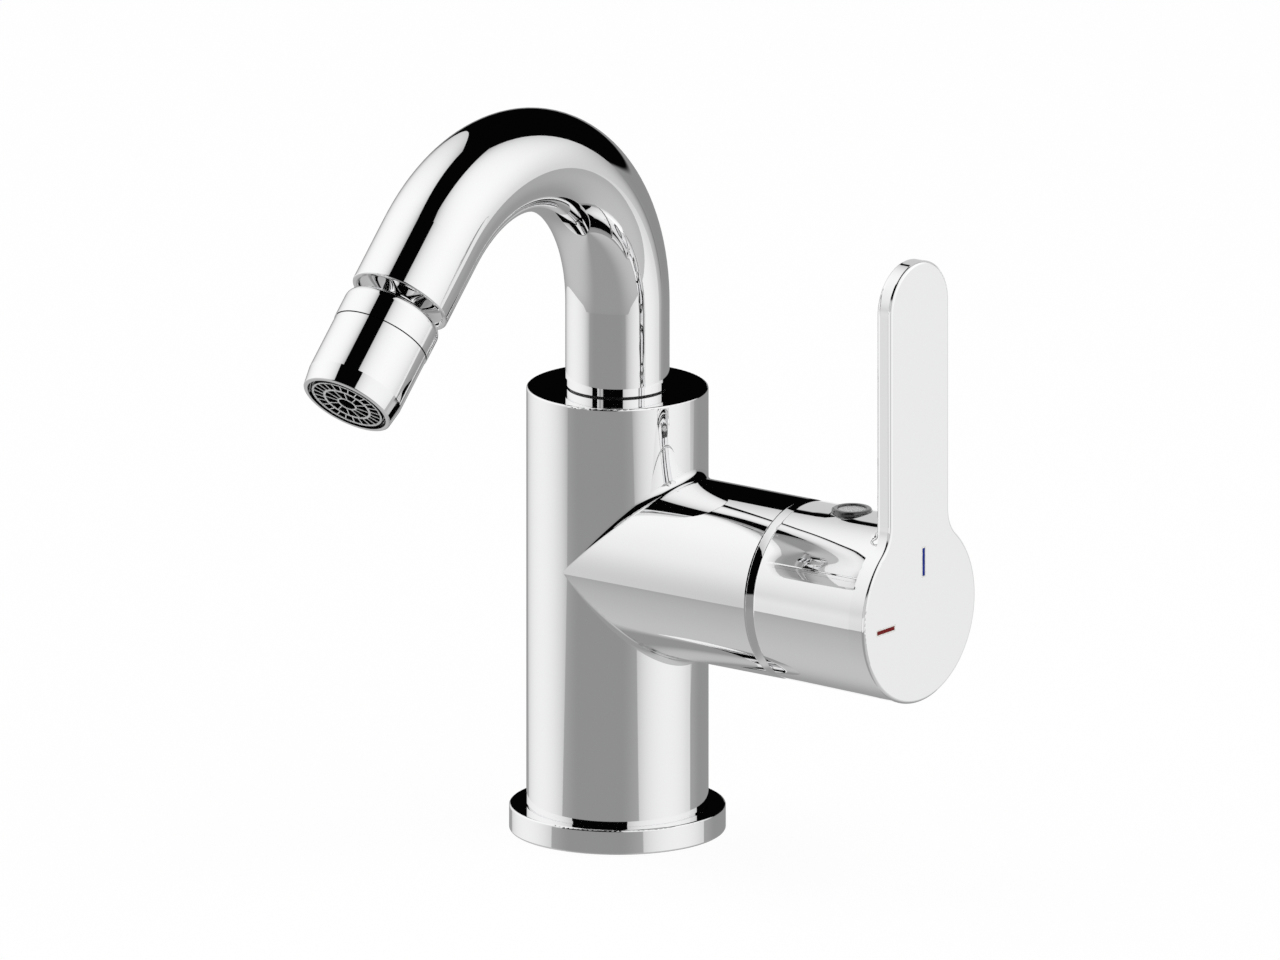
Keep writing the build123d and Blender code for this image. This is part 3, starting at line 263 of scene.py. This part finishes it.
class Value:
    """One socket of a material, so that its maths is written as an expression."""

    def __init__(self, shader, socket):
        self.shader = shader
        self.socket = socket

    def math(self, operation, *others):
        return self.shader.node("ShaderNodeMath", {"operation": operation}, self, *others)

    def __add__(self, other):
        return self.math("ADD", other)

    def __radd__(self, other):
        return self.math("ADD", other)

    def __sub__(self, other):
        return self.math("SUBTRACT", other)

    def __rsub__(self, other):
        return self.shader.node("ShaderNodeMath", {"operation": "SUBTRACT"}, other, self)

    def __mul__(self, other):
        return self.math("MULTIPLY", other)

    def __rmul__(self, other):
        return self.math("MULTIPLY", other)

    def __truediv__(self, other):
        return self.math("DIVIDE", other)

    def __pow__(self, other):
        return self.math("POWER", other)

    def __abs__(self):
        return self.math("ABSOLUTE")

    def step(self, low, high, to_low=0.0, to_high=1.0):
        """Rises smoothly from to_low at low to to_high at high."""
        settings = {"interpolation_type": "SMOOTHSTEP"}
        return self.shader.node("ShaderNodeMapRange", settings, self, low, high, to_low, to_high)


class Shader:
    """The node tree of one material or world, with one method that adds any node."""

    def __init__(self, owner):
        owner.use_nodes = True
        self.tree = owner.node_tree
        self.tree.nodes.clear()

    def node(self, kind, settings=None, *values, out=0, **named):
        made = self.tree.nodes.new(kind)
        for key, value in (settings or {}).items():
            setattr(made, key, value)
        for index, value in enumerate(values):
            self.feed(made.inputs[index], value)
        for name, value in named.items():
            self.feed(made.inputs[name.replace("_", " ")], value)
        return Value(self, made.outputs[out]) if made.outputs else made

    def feed(self, socket, value):
        if isinstance(value, Value):
            self.tree.links.new(value.socket, socket)
        elif value is not None:
            if socket.type == "RGBA" and len(value) == 3:
                value = (*value, 1)
            socket.default_value = value

    def place(self):
        return self.node("ShaderNodeTexCoord", None, out="Object")

    def split(self, vector):
        """The three numbers of a vector."""
        parts = self.node("ShaderNodeSeparateXYZ", None, vector).socket.node
        return [Value(self, output) for output in parts.outputs]

    def noise(self, scale, detail=2.0):
        return self.node(
            "ShaderNodeTexNoise", None, Vector=self.place(), Scale=scale, Detail=detail, Roughness=0.5
        )

    def mix(self, factor, first, second):
        made = self.tree.nodes.new("ShaderNodeMix")
        made.data_type = "RGBA"
        self.feed(made.inputs[0], factor)
        self.feed(made.inputs[6], first)
        self.feed(made.inputs[7], second)
        return Value(self, made.outputs[2])

    def bump(self, height, strength, distance):
        return self.node(
            "ShaderNodeBump", None, Strength=strength, Distance=distance, Height=height
        )

    def surface(self, **values):
        shading = self.node("ShaderNodeBsdfPrincipled", None, **values)
        self.node("ShaderNodeOutputMaterial", None, shading)


def new_material(name):
    made = bpy.data.materials.new(name)
    return made, Shader(made)


def finishes():
    return bpy.context.scene.mixer_finish


def polished_chrome(name):
    """Mirror chrome with the faint haze and waviness of a polished casting."""
    finish = finishes()
    made, shader = new_material(name)
    haze = shader.noise(38.0, 3.0).step(0.35, 0.75)
    fine = shader.noise(900.0, 2.0).step(0.4, 0.7)
    colour = tuple(finish.chrome)
    shader.surface(
        Base_Color=shader.mix(haze * 0.5, colour, [c * 0.985 for c in colour]),
        Metallic=1.0,
        Roughness=haze * 0.006 + fine * 0.004 + finish.chrome_roughness,
        Normal=shader.bump(shader.noise(60.0, 1.0), 0.02, 0.00002),
    )
    return made


def turned_metal(name, colour, roughness, scale=700.0):
    """Plain turned metal inside the mixer, with fine tool lines."""
    made, shader = new_material(name)
    lines = shader.noise(scale, 2.0)
    patches = shader.noise(60.0, 3.0)
    shader.surface(
        Base_Color=shader.mix(patches.step(0.3, 0.7) * 0.6, colour, [c * 0.82 for c in colour]),
        Metallic=1.0,
        Roughness=lines * 0.12 + roughness,
        Normal=shader.bump(lines, 0.15, 0.00003),
    )
    return made


def moulded_plastic(name, colour, roughness, spread=0.12, bump=0.08):
    """Moulded plastic: a fine grain, and a slightly uneven colour and gloss."""
    made, shader = new_material(name)
    grain = shader.noise(2600.0, 2.0)
    cloud = shader.noise(120.0, 3.0).step(0.3, 0.7)
    shader.surface(
        Base_Color=shader.mix(cloud * spread * 4, colour, [c * (1 - spread) for c in colour]),
        Metallic=0.0,
        Roughness=grain * 0.1 + cloud * 0.05 + roughness,
        Normal=shader.bump(grain, bump, 0.00002),
    )
    return made


def glossy_plastic(name, colour):
    """Dark lacquered plastic, lighter where it is seen along its surface."""
    made, shader = new_material(name)
    cloud = shader.noise(160.0, 3.0).step(0.3, 0.7)
    shader.surface(
        Base_Color=shader.mix(cloud * 0.5, colour, [c * 0.8 for c in colour]),
        Metallic=0.0,
        Roughness=cloud * 0.05 + 0.16,
        Specular_IOR_Level=1.0,
        Coat_Weight=1.0,
        Coat_Roughness=0.08,
        Normal=shader.bump(shader.noise(1800.0, 2.0), 0.05, 0.00002),
    )
    return made


def soft_rubber(name, colour):
    """Matt rubber with a dusty bloom."""
    made, shader = new_material(name)
    bloom = shader.noise(240.0, 4.0).step(0.35, 0.8)
    shader.surface(
        Base_Color=shader.mix(bloom * 0.6, colour, [c * 1.9 + 0.008 for c in colour]),
        Metallic=0.0,
        Roughness=bloom * 0.15 + 0.62,
        Normal=shader.bump(shader.noise(1500.0, 3.0), 0.2, 0.00003),
    )
    return made


def lapped_ceramic(name):
    """Fine white ceramic with a lapped face."""
    made, shader = new_material(name)
    grain = shader.noise(1800.0, 3.0)
    shader.surface(
        Base_Color=shader.mix(grain.step(0.4, 0.7), (0.83, 0.82, 0.79), (0.76, 0.75, 0.72)),
        Metallic=0.0,
        Roughness=grain * 0.15 + 0.2,
        Normal=shader.bump(grain, 0.05, 0.00001),
    )
    return made


def baked_enamel(name, colour):
    """Satin enamel that fills a mark, with a slightly thinner colour in places."""
    made, shader = new_material(name)
    cloud = shader.noise(900.0, 3.0).step(0.35, 0.75)
    shader.surface(
        Base_Color=shader.mix(cloud * 0.5, colour, [min(1, c * 1.25 + 0.01) for c in colour]),
        Metallic=0.0,
        Roughness=cloud * 0.08 + 0.5,
        Normal=shader.bump(shader.noise(1400.0, 2.0), 0.06, 0.00002),
        Specular_IOR_Level=0.12,
    )
    return made


def handle_chrome(name, outline):
    """Chrome of the handle, with the white line printed round the cold and hot marks."""
    finish = finishes()
    made, shader = new_material(name)
    x, y, z = shader.split(shader.place())
    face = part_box("handle")[1].x
    printed = x.step(face - 0.3 * MM, face - 0.2 * MM)
    lines = None
    for mark in ("cold_mark", "hot_mark"):
        low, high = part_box(mark)
        centre, half = (low + high) / 2, (high - low) / 2
        past_side = (y - centre.y).math("ABSOLUTE") - half.y
        past_end = (z - centre.z).math("ABSOLUTE") - half.z
        line = 1.0 - past_side.math("MAXIMUM", past_end).step(outline * 0.9, outline)
        lines = line if lines is None else lines.math("MAXIMUM", line)
    printed = printed * lines
    haze = shader.noise(38.0, 3.0).step(0.35, 0.75)
    shader.surface(
        Base_Color=shader.mix(printed, tuple(finish.chrome), (1.0, 1.0, 0.96)),
        Metallic=1.0 - printed,
        Roughness=printed * 0.4 + haze * 0.006 + finish.chrome_roughness,
        Normal=shader.bump(shader.noise(60.0, 1.0), 0.02, 0.00002),
    )
    return made


def head_chrome(name, node, shade_radius):
    """Chrome of the outlet's housing, painted black as shade inside that radius, in millimetres."""
    finish = finishes()
    low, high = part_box(node)
    made, shader = new_material(name)
    arm = shader.node(
        "ShaderNodeVectorMath", {"operation": "SUBTRACT"}, shader.place(), tuple((low + high) / 2)
    )
    across = shader.node(
        "ShaderNodeVectorMath", {"operation": "CROSS_PRODUCT"}, arm, tuple(HEAD_DIRECTION)
    )
    radius = shader.node("ShaderNodeVectorMath", {"operation": "LENGTH"}, across, out="Value") / MM
    outside = radius.step(shade_radius + 0.02, shade_radius + 0.08)
    haze = shader.noise(38.0, 3.0).step(0.35, 0.75)
    shader.surface(
        # Painted shade: black and matt inside the radius, where the gap round the grille lies in shade
        Base_Color=shader.mix(outside, (0.008, 0.008, 0.009), tuple(finish.chrome)),
        Metallic=outside,
        Roughness=0.45 - outside * (0.45 - finish.chrome_roughness) + haze * 0.006,
        Normal=shader.bump(shader.noise(60.0, 1.0), 0.02, 0.00002),
    )
    return made


def outlet_plastic(name, node):
    """Pale plastic of the outlet: pale on its outer edges, with painted shade that turns it black deeper
    inside the cells.
    """
    edge = max(v.co.dot(HEAD_DIRECTION) for v in frame["nodes"][node].data.vertices)
    made, shader = new_material(name)
    along = shader.node(
        "ShaderNodeVectorMath", {"operation": "DOT_PRODUCT"}, shader.place(), tuple(HEAD_DIRECTION),
        out="Value",
    )
    depth = (edge - along) / MM
    grain = shader.noise(2600.0, 2.0)
    pale = shader.mix(grain, (0.9, 0.91, 0.92), (0.95, 0.95, 0.96))
    shader.surface(
        # Painted shade: the colour turns black from 0.07 to 0.2 mm behind the front edge, inside the cells
        Base_Color=shader.mix(depth.step(0.07, 0.2), pale, (0.006, 0.006, 0.007)),
        Metallic=0.0,
        Roughness=grain * 0.1 + 0.25,
        Coat_Weight=1.0,
        Coat_Roughness=0.1,
        Normal=shader.bump(grain, 0.05, 0.00002),
    )
    return made


NODE_FINISHES = {
    "handle_chrome": ("handle",),
    "chrome": ("body", "base_rosette", "dome_cover", "spout_tube", "spout_collar",
               "ball_stud", "socket_ring"),
    "head_chrome": ("aerator_housing",),
    "plain_brass": ("cartridge_nut", "spout_nipple", "lever_stem"),
    "steel": ("pivot_pin", "lock_ring", "stop_pin", "grub_screw", "aerator_screen"),
    "rubber": ("base_gasket", "rosette_seal", "port_seals", "rotor_seal", "spout_seals",
               "stud_seal", "ball_seal", "aerator_washer"),
    "ceramic": ("fixed_disc", "moving_disc"),
    "cartridge_plastic": ("cartridge_base", "cartridge_housing", "cartridge_rotor",
                          "disc_carrier", "stem_sleeve", "guide_rings", "ball_seat"),
    "black_plastic": ("slide_washer", "jet_plate", "screw_plug"),
    "core_plastic": ("aerator_core",),
    "grille_plastic": ("outlet_grille",),
    "button_plastic": ("plug_button",),
    "cold_enamel": ("cold_mark",),
    "hot_enamel": ("hot_mark",),
}


class MIXER_OT_finishes(bpy.types.Operator):
    """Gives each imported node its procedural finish"""

    bl_idname = "mixer.finishes"
    bl_label = "Give the nodes their finishes"

    def execute(self, context):
        finish = finishes()
        made = {
            "chrome": polished_chrome("polished_chrome"),
            "handle_chrome": handle_chrome("handle_chrome", context.scene.mixer_sizes.mark_outline),
            "head_chrome": head_chrome("head_chrome", "aerator_housing", HOUSING_SHADE_RADIUS),
            "plain_brass": turned_metal("plain_brass", (0.72, 0.52, 0.25), 0.22),
            "steel": turned_metal("stainless_steel", (0.56, 0.55, 0.53), 0.2),
            "rubber": soft_rubber("seal_rubber", (0.014, 0.014, 0.015)),
            "ceramic": lapped_ceramic("lapped_ceramic"),
            "cartridge_plastic": moulded_plastic("cartridge_plastic", (0.76, 0.77, 0.76), 0.34),
            "black_plastic": moulded_plastic("black_plastic", (0.016, 0.016, 0.018), 0.3),
            "core_plastic": outlet_plastic("core_plastic", "aerator_core"),
            "grille_plastic": outlet_plastic("grille_plastic", "outlet_grille"),
            "button_plastic": moulded_plastic("button_plastic", (0.93, 0.93, 0.94), 0.16, 0.04),
            "cold_enamel": baked_enamel("cold_enamel", tuple(finish.cold)),
            "hot_enamel": baked_enamel("hot_enamel", tuple(finish.hot)),
        }
        glossy_plastic("plug_plastic", (0.03, 0.03, 0.032))
        for key, nodes in NODE_FINISHES.items():
            for node in nodes:
                slots = frame["nodes"][node].data.materials
                slots.clear()
                slots.append(made[key])
        bare = [n for n, o in frame["nodes"].items() if len(o.data.materials) != 1]
        if bare or sum(map(len, NODE_FINISHES.values())) != len(frame["nodes"]):
            raise RuntimeError(f"nodes without a finish: {bare}")
        return {"FINISHED"}


def finished_piece(name, shape, body, slot, material, *nodes):
    """Turns a bmesh into a piece that rides on a body, with its finish, in place of some nodes."""
    bmesh.ops.remove_doubles(shape, verts=shape.verts, dist=MERGE_REACH)
    bmesh.ops.recalc_face_normals(shape, faces=shape.faces)
    for face in shape.faces:
        face.smooth = True
    for edge in shape.edges:
        edge.smooth = len(edge.link_faces) == 2 and edge.calc_face_angle() < SHARP_ANGLE
    mesh = bpy.data.meshes.new(name)
    shape.to_mesh(mesh)
    shape.free()
    mesh.materials.append(bpy.data.materials[material])
    piece = bpy.data.objects.new(name, mesh)
    bpy.context.scene.collection.objects.link(piece)
    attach(piece, body)
    if nodes:
        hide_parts(*nodes)
    return piece


def turned(profile, steps, centre):
    """A closed shape spun round the upright axis through centre from (radius, height) points."""
    shape = bmesh.new()
    points = [shape.verts.new((radius, 0, height)) for radius, height in profile]
    edges = [shape.edges.new(pair) for pair in zip(points, points[1:])]
    bmesh.ops.spin(
        shape, geom=points + edges, cent=(0, 0, 0), axis=(0, 0, 1), angle=2 * pi, steps=steps, use_merge=True
    )
    bmesh.ops.remove_doubles(shape, verts=shape.verts, dist=0.001 * MM)
    bmesh.ops.recalc_face_normals(shape, faces=shape.faces)
    bmesh.ops.translate(shape, vec=centre, verts=shape.verts)
    return shape


def rounded_at(shape, centre, radius, height, size, segments):
    """Rounds the ring of edges at that radius and height of a turned shape."""
    def on_ring(vert):
        flat = (Vector(vert.co) - centre).to_2d().length
        return abs(flat - radius) < 0.02 * MM and abs(vert.co.z - centre.z - height) < 0.02 * MM

    ring = [e for e in shape.edges if all(on_ring(v) for v in e.verts)]
    bmesh.ops.bevel(
        shape, geom=ring, offset=size, segments=segments, profile=0.5, affect="EDGES", material=-1
    )


class MIXER_OT_plug(bpy.types.Operator):
    """Turns the dark plug on the cap and its dished button"""

    bl_idname = "mixer.plug"
    bl_label = "Make the plug and its button"

    def execute(self, context):
        sizes = context.scene.mixer_sizes
        low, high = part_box("screw_plug")
        button_low, button_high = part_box("plug_button")
        outer = (high.x - low.x) / 2
        inner = (button_high.x - button_low.x) / 2 + BUTTON_PLAY
        centre = Vector(((low.x + high.x) / 2, (low.y + high.y) / 2, 0))
        seat = high.z - PLUG_COLLAR_HEIGHT
        shank = outer - PLUG_SHANK_INSET
        profile = (
            (0, low.z), (shank, low.z), (shank, seat), (outer, seat), (outer, high.z),
            (inner, high.z), (inner, button_low.z), (0, button_low.z),
        )
        plug = turned(profile, sizes.turns, centre)
        rounded_at(plug, centre, outer, high.z, sizes.plug_rounding, 6)
        rounded_at(plug, centre, inner, high.z, PLUG_INNER_ROUNDING, 4)
        rounded_at(plug, centre, shank, low.z, PLUG_FOOT_ROUNDING, 2)
        finished_piece("plug_ring", plug, "lever", "black_plastic", "plug_plastic", "screw_plug")
        rim = inner - BUTTON_PLAY
        hollow = [
            (rim * share, button_high.z - sizes.plug_dish * (1 - share * share))
            for share in (0.95, 0.8, 0.6, 0.4, 0.2, 0.0)
        ]
        button = turned(
            ((0, button_low.z), (rim, button_low.z), (rim, button_high.z), *hollow), sizes.turns, centre
        )
        finished_piece("plug_disc", button, "lever", "grey_plastic", "button_plastic", "plug_button")
        return {"FINISHED"}


class MIXER_OT_fillet(bpy.types.Operator):
    """Rounds the inner corner where the side branch leaves the column, above and below"""

    bl_idname = "mixer.fillet"
    bl_label = "Round the branch's corner"

    def execute(self, context):
        sizes = context.scene.mixer_sizes
        low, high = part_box("body")
        column = (high.y - low.y) / 2
        ball = sizes.branch_fillet
        shape = bmesh.new()
        for side in (1, -1):
            self.strip(shape, column, ball, side, sizes.turns)
        bmesh.ops.translate(shape, vec=BRANCH_CENTRE, verts=shape.verts)
        finished_piece("branch_fillet", shape, "mixer_body", "chrome", "polished_chrome")
        return {"FINISHED"}

    def strip(self, shape, radius, ball, side, steps):
        """One strip: a grid bent round the path of a ball that rolls in the corner."""
        grid = bmesh.ops.create_grid(shape, x_segments=steps, y_segments=STRIP_ROWS, size=1)["verts"]
        for vert in grid:
            run = (vert.co.x + 1) / 2 * pi
            row = round((vert.co.y + 1) / 2 * STRIP_ROWS)
            reach = (radius + ball) * sin(run)
            centre = Vector((reach, -(radius + ball) * cos(run), reach * side))
            share = radius / (radius + ball)
            on_column = Vector((centre.x * share, centre.y * share, centre.z))
            on_branch = Vector((centre.x, centre.y * share, centre.z * share))
            if row in (0, STRIP_ROWS):
                corner = radius * sin(run) - STRIP_SINK
                vert.co = Vector((corner, -(radius - STRIP_SINK) * cos(run), corner * side))
                continue
            first, last = on_column - centre, on_branch - centre
            angle = first.angle(last, 0.0)
            part = (row - 1) / (STRIP_ROWS - 2)
            if angle < FLAT_CORNER:
                vert.co = centre + first.lerp(last, part)
                continue
            turned_part = (first * sin((1 - part) * angle) + last * sin(part * angle)) / sin(angle)
            vert.co = centre + turned_part


class MIXER_OT_outlet(bpy.types.Operator):
    """Makes the outlet's grille: rings, the outer row of cells and the slanted spokes"""

    bl_idname = "mixer.outlet"
    bl_label = "Make the outlet's grille"

    def execute(self, context):
        sizes = context.scene.mixer_sizes
        low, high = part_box("outlet_grille")
        centre = (low + high) / 2
        arms = [v.co - centre for v in frame["nodes"]["outlet_grille"].data.vertices]
        heights = [arm.dot(HEAD_DIRECTION) for arm in arms]
        foot, front = min(heights), max(heights)
        rim = max(arm.cross(HEAD_DIRECTION).length for arm in arms)
        rim_ring = (rim - RIM_WALL, rim)
        shape = bmesh.new()
        for inner, outer in (rim_ring, MIDDLE_RING, CENTRE_RING):
            self.ring(shape, inner, outer, foot, front, sizes.turns)
        self.bars(shape, sizes.outlet_cells, CELL_START, rim - RIM_WALL / 2, 0.0, foot, front)
        self.bars(shape, sizes.outlet_spokes, SPOKE_START, SPOKE_END, SPOKE_SLANT, foot, front)
        place = HEAD_DIRECTION.to_track_quat("Z", "X").to_matrix().to_4x4()
        bmesh.ops.transform(shape, matrix=Matrix.Translation(centre) @ place, verts=shape.verts)
        finished_piece(
            "outlet_cells", shape, "outlet_head", "grey_plastic", "grille_plastic", "outlet_grille"
        )
        return {"FINISHED"}

    def ring(self, shape, inner, outer, foot, front, steps):
        """One ring between two radii, with its front edges broken."""
        profile = (
            (inner, foot), (inner, front - RIB_EDGE), (inner + RIB_EDGE, front),
            (outer - RIB_EDGE, front), (outer, front - RIB_EDGE), (outer, foot), (inner, foot),
        )
        points = [shape.verts.new((radius, 0, height)) for radius, height in profile]
        edges = [shape.edges.new(pair) for pair in zip(points, points[1:])]
        bmesh.ops.spin(
            shape, geom=points + edges, cent=(0, 0, 0), axis=(0, 0, 1), angle=2 * pi, steps=steps,
            use_merge=True,
        )

    def bars(self, shape, count, start, end, slant, foot, front):
        """A round of ribs from one radius to another, each turned by the slant at its start."""
        for index in range(count):
            bar = bmesh.ops.create_cube(shape, size=1)["verts"]
            bmesh.ops.scale(shape, vec=(end - start, RIB_WIDTH, front - foot), verts=bar)
            bmesh.ops.translate(shape, vec=((end - start) / 2, 0, (front + foot) / 2), verts=bar)
            bmesh.ops.rotate(shape, matrix=Matrix.Rotation(slant, 3, "Z"), verts=bar)
            bmesh.ops.translate(shape, vec=(start, 0, 0), verts=bar)
            bmesh.ops.rotate(shape, matrix=Matrix.Rotation(2 * pi * index / count, 3, "Z"), verts=bar)


def camera_share(shader, seen, mirrored):
    """One shading for what the camera sees directly and one for every other ray."""
    seen_straight = shader.node("ShaderNodeLightPath", None, out="Is Camera Ray")
    return shader.node("ShaderNodeMixShader", None, seen_straight, mirrored, seen)


def table_light(shader, direction):
    """The studio that the chrome mirrors outside the light panels: a grey table below, dark above."""
    stage = bpy.context.scene.mixer_stage
    height = shader.split(direction)[2]
    across = shader.node(
        "ShaderNodeVectorMath", {"operation": "DOT_PRODUCT"}, direction,
        (cos(PANEL_TURN), sin(PANEL_TURN), 0), out="Value",
    )
    flat = (1.0001 - height * height) ** 0.5
    bounce = (abs(across) / flat).step(0.45, 1.05)
    near = height.step(-0.34, -0.2, 1.14, 0.97)
    table = (bounce * height.step(-0.5, -0.26, 0.72, 0.55) + 1.0) * near * stage.table
    return height.step(-0.03, 0.01, 1.0, 0.0) * table + 0.0012


class MIXER_OT_stage(bpy.types.Operator):
    """Makes the camera of the photograph, the pale floor, the light panels and the world"""

    bl_idname = "mixer.stage"
    bl_label = "Make the stage"

    def execute(self, context):
        self.camera(context)
        self.world(context)
        self.floor(context)
        self.panels(context)
        self.handle_panels(context)
        self.lamps(context)
        context.scene.view_settings.view_transform = "Standard"
        return {"FINISHED"}

    def camera(self, context):
        data = bpy.data.cameras.new("photo_camera")
        data.type = "ORTHO"
        data.ortho_scale = FRAME_WIDTH
        data.clip_end = 60
        eye = bpy.data.objects.new("photo_camera", data)
        eye.rotation_mode = "QUATERNION"
        eye.rotation_quaternion = (-VIEW_BACK).to_track_quat("-Z", "Y")
        aim = VIEW_RIGHT * AIM_RIGHT + VIEW_UP * AIM_UP
        eye.location = aim + VIEW_BACK * CAMERA_DISTANCE
        context.scene.collection.objects.link(eye)
        context.scene.camera = eye

    def world(self, context):
        world = bpy.data.worlds.new("studio")
        shader = Shader(world)
        direction = shader.node("ShaderNodeTexCoord", None, out="Generated")
        mirrored = shader.node("ShaderNodeBackground", None, (1, 1, 1), table_light(shader, direction))
        seen = shader.node("ShaderNodeBackground", None, (1, 1, 1), 1.0)
        shader.node("ShaderNodeOutputWorld", None, camera_share(shader, seen, mirrored))
        context.scene.world = world

    def floor(self, context):
        mesh = bpy.data.meshes.new("floor")
        shape = bmesh.new()
        bmesh.ops.create_grid(shape, x_segments=2, y_segments=2, size=FLOOR_HALF_SIZE)
        bmesh.ops.translate(shape, vec=(0, 0, -FLOOR_DROP), verts=shape.verts)
        shape.to_mesh(mesh)
        shape.free()
        floor = bpy.data.objects.new("floor", mesh)
        made, shader = new_material("pale_floor")
        white = shader.node("ShaderNodeBsdfDiffuse", None, (0.9, 0.9, 0.9))
        light = shader.node("ShaderNodeEmission", None, (1, 1, 1), 1.06)
        seen = shader.node("ShaderNodeMixShader", None, 0.12, light, white)
        shader.node("ShaderNodeOutputMaterial", None, camera_share(shader, seen, white))
        mesh.materials.append(made)
        floor.visible_glossy = False
        context.scene.collection.objects.link(floor)

    def panels(self, context):
        """Two tall panels that face each other across the mixer, as its chrome mirrors them."""
        stage = context.scene.mixer_stage
        reach, half_width, foot, top = 2.0, 2.75, -0.68, 7.3
        for name, turn in (("panel_right", PANEL_TURN), ("panel_left", PANEL_TURN + pi)):
            panel, shader = self.upright_panel(context, name, turn, reach, half_width, foot, top)
            x, y, z = shader.split(shader.place())
            offset = (y * cos(turn) - x * sin(turn)) / reach
            rise = z / reach - 0.4
            lift = (z / reach).step(-0.4, 0.6)
            edge = 1.0 - offset * offset * (0.44 - lift * 0.24)
            level = edge * (1.0 - rise * rise * 0.035) * (lift * 0.1 + 0.9) * stage.panel
            light = shader.node("ShaderNodeEmission", None, (1, 1, 1), level)
            shader.node("ShaderNodeOutputMaterial", None, light)

    def handle_panels(self, context):
        """Faint panels that only the handle mirrors, as the handle of the photograph is lighter."""
        stage = context.scene.mixer_stage
        handle_only = bpy.data.collections.new("handle_only")
        for name in ("handle", "plug_ring", "plug_disc"):
            handle_only.objects.link(bpy.data.objects[name])
        cap_only = bpy.data.collections.new("cap_only")
        cap_only.objects.link(bpy.data.objects["handle"])
        for name, azimuth, reach, half_width, foot, top, level, receivers in (
            ("handle_panel_back", 156.5, 2.6, 1.62, -1.6, 6.0, stage.handle_back, handle_only),
            ("handle_panel_face", 106.0, 1.9, 0.8, -1.3, 1.6, stage.handle_face, handle_only),
            ("handle_panel_side", -76.0, 1.9, 0.7, -0.48, 0.2, stage.handle_side, handle_only),
            ("handle_panel_front", -23.5, 1.9, 1.3, -0.48, 1.1, stage.handle_front, cap_only),
        ):
            turn = radians(azimuth) + CAMERA_TURN - pi / 2
            panel, shader = self.upright_panel(context, name, turn, reach, half_width, foot, top)
            x, y, z = shader.split(shader.place())
            across = (y * cos(turn) - x * sin(turn)) / half_width
            fade = (1.0 - (across * across).step(0.9, 1.0)) * (1.0 - z.step(top - 0.35, top))
            light = shader.node("ShaderNodeEmission", None, (1, 1, 1), fade * level)
            clear = shader.node("ShaderNodeBsdfTransparent", None, (1, 1, 1))
            both = shader.node("ShaderNodeAddShader", None, light, clear)
            shader.node("ShaderNodeOutputMaterial", None, both)
            panel.light_linking.receiver_collection = receivers

    def upright_panel(self, context, name, turn, reach, half_width, foot, top):
        """An upright panel at that distance and world azimuth, hidden from the camera."""
        shape = bmesh.new()
        bmesh.ops.create_grid(shape, x_segments=24, y_segments=36, size=0.5)
        bmesh.ops.scale(shape, vec=(half_width * 2, top - foot, 1), verts=shape.verts)
        bmesh.ops.translate(shape, vec=(0, (top + foot) / 2, 0), verts=shape.verts)
        bmesh.ops.rotate(shape, matrix=Matrix.Rotation(pi / 2, 3, "X"), verts=shape.verts)
        bmesh.ops.translate(shape, vec=(0, reach, 0), verts=shape.verts)
        bmesh.ops.rotate(shape, matrix=Matrix.Rotation(turn - pi / 2, 3, "Z"), verts=shape.verts)
        mesh = bpy.data.meshes.new(name)
        shape.to_mesh(mesh)
        shape.free()
        panel = bpy.data.objects.new(name, mesh)
        made, shader = new_material(name)
        mesh.materials.append(made)
        panel.visible_camera = False
        panel.visible_shadow = False
        context.scene.collection.objects.link(panel)
        return panel, shader

    def lamps(self, context):
        """Soft lamps that lift the matt pieces and don't show in the chrome."""
        for name, place, size, power in (
            ("front_lamp", (1.2, -1.6, 1.5), 1.4, 5.5),
            ("top_lamp", (0.0, 0.3, 2.4), 1.8, 4.0),
        ):
            data = bpy.data.lights.new(name, "AREA")
            data.size = size
            data.energy = power
            lamp = bpy.data.objects.new(name, data)
            lamp.location = place
            aim = LAMP_AIM - Vector(place)
            lamp.rotation_euler = aim.to_track_quat("-Z", "Y").to_euler()
            lamp.visible_glossy = False
            context.scene.collection.objects.link(lamp)


class MIXER_PT_sidebar(bpy.types.Panel):
    """Lists the steps that dress the mixer"""

    bl_idname = "MIXER_PT_sidebar"
    bl_label = "Mixer"
    bl_space_type = "VIEW_3D"
    bl_region_type = "UI"
    bl_category = "Mixer"

    def draw(self, context):
        for step in STEPS:
            self.layout.operator(step.bl_idname)
        for group in (context.scene.mixer_sizes, context.scene.mixer_finish, context.scene.mixer_stage):
            for name in group.bl_rna.properties.keys():
                if name not in ("rna_type", "name"):
                    self.layout.prop(group, name)


STEPS = (
    MIXER_OT_finishes, MIXER_OT_fillet, MIXER_OT_plug, MIXER_OT_outlet, MIXER_OT_stage,
)
CLASSES = (MixerSizes, MixerFinish, MixerStage, *STEPS, MIXER_PT_sidebar)


def register():
    for made in CLASSES:
        bpy.utils.register_class(made)
    bpy.types.Scene.mixer_sizes = PointerProperty(type=MixerSizes)
    bpy.types.Scene.mixer_finish = PointerProperty(type=MixerFinish)
    bpy.types.Scene.mixer_stage = PointerProperty(type=MixerStage)


def unregister():
    del bpy.types.Scene.mixer_sizes
    del bpy.types.Scene.mixer_finish
    del bpy.types.Scene.mixer_stage
    for made in reversed(CLASSES):
        bpy.utils.unregister_class(made)


def main():
    register()
    for old in list(bpy.data.objects):
        if old.name in ("Cube", "Light", "Camera"):
            bpy.data.objects.remove(old)
    bpy.ops.mixer.finishes()
    bpy.ops.mixer.fillet()
    bpy.ops.mixer.plug()
    bpy.ops.mixer.outlet()
    bpy.ops.mixer.stage()


if __name__ == "__main__":
    main()
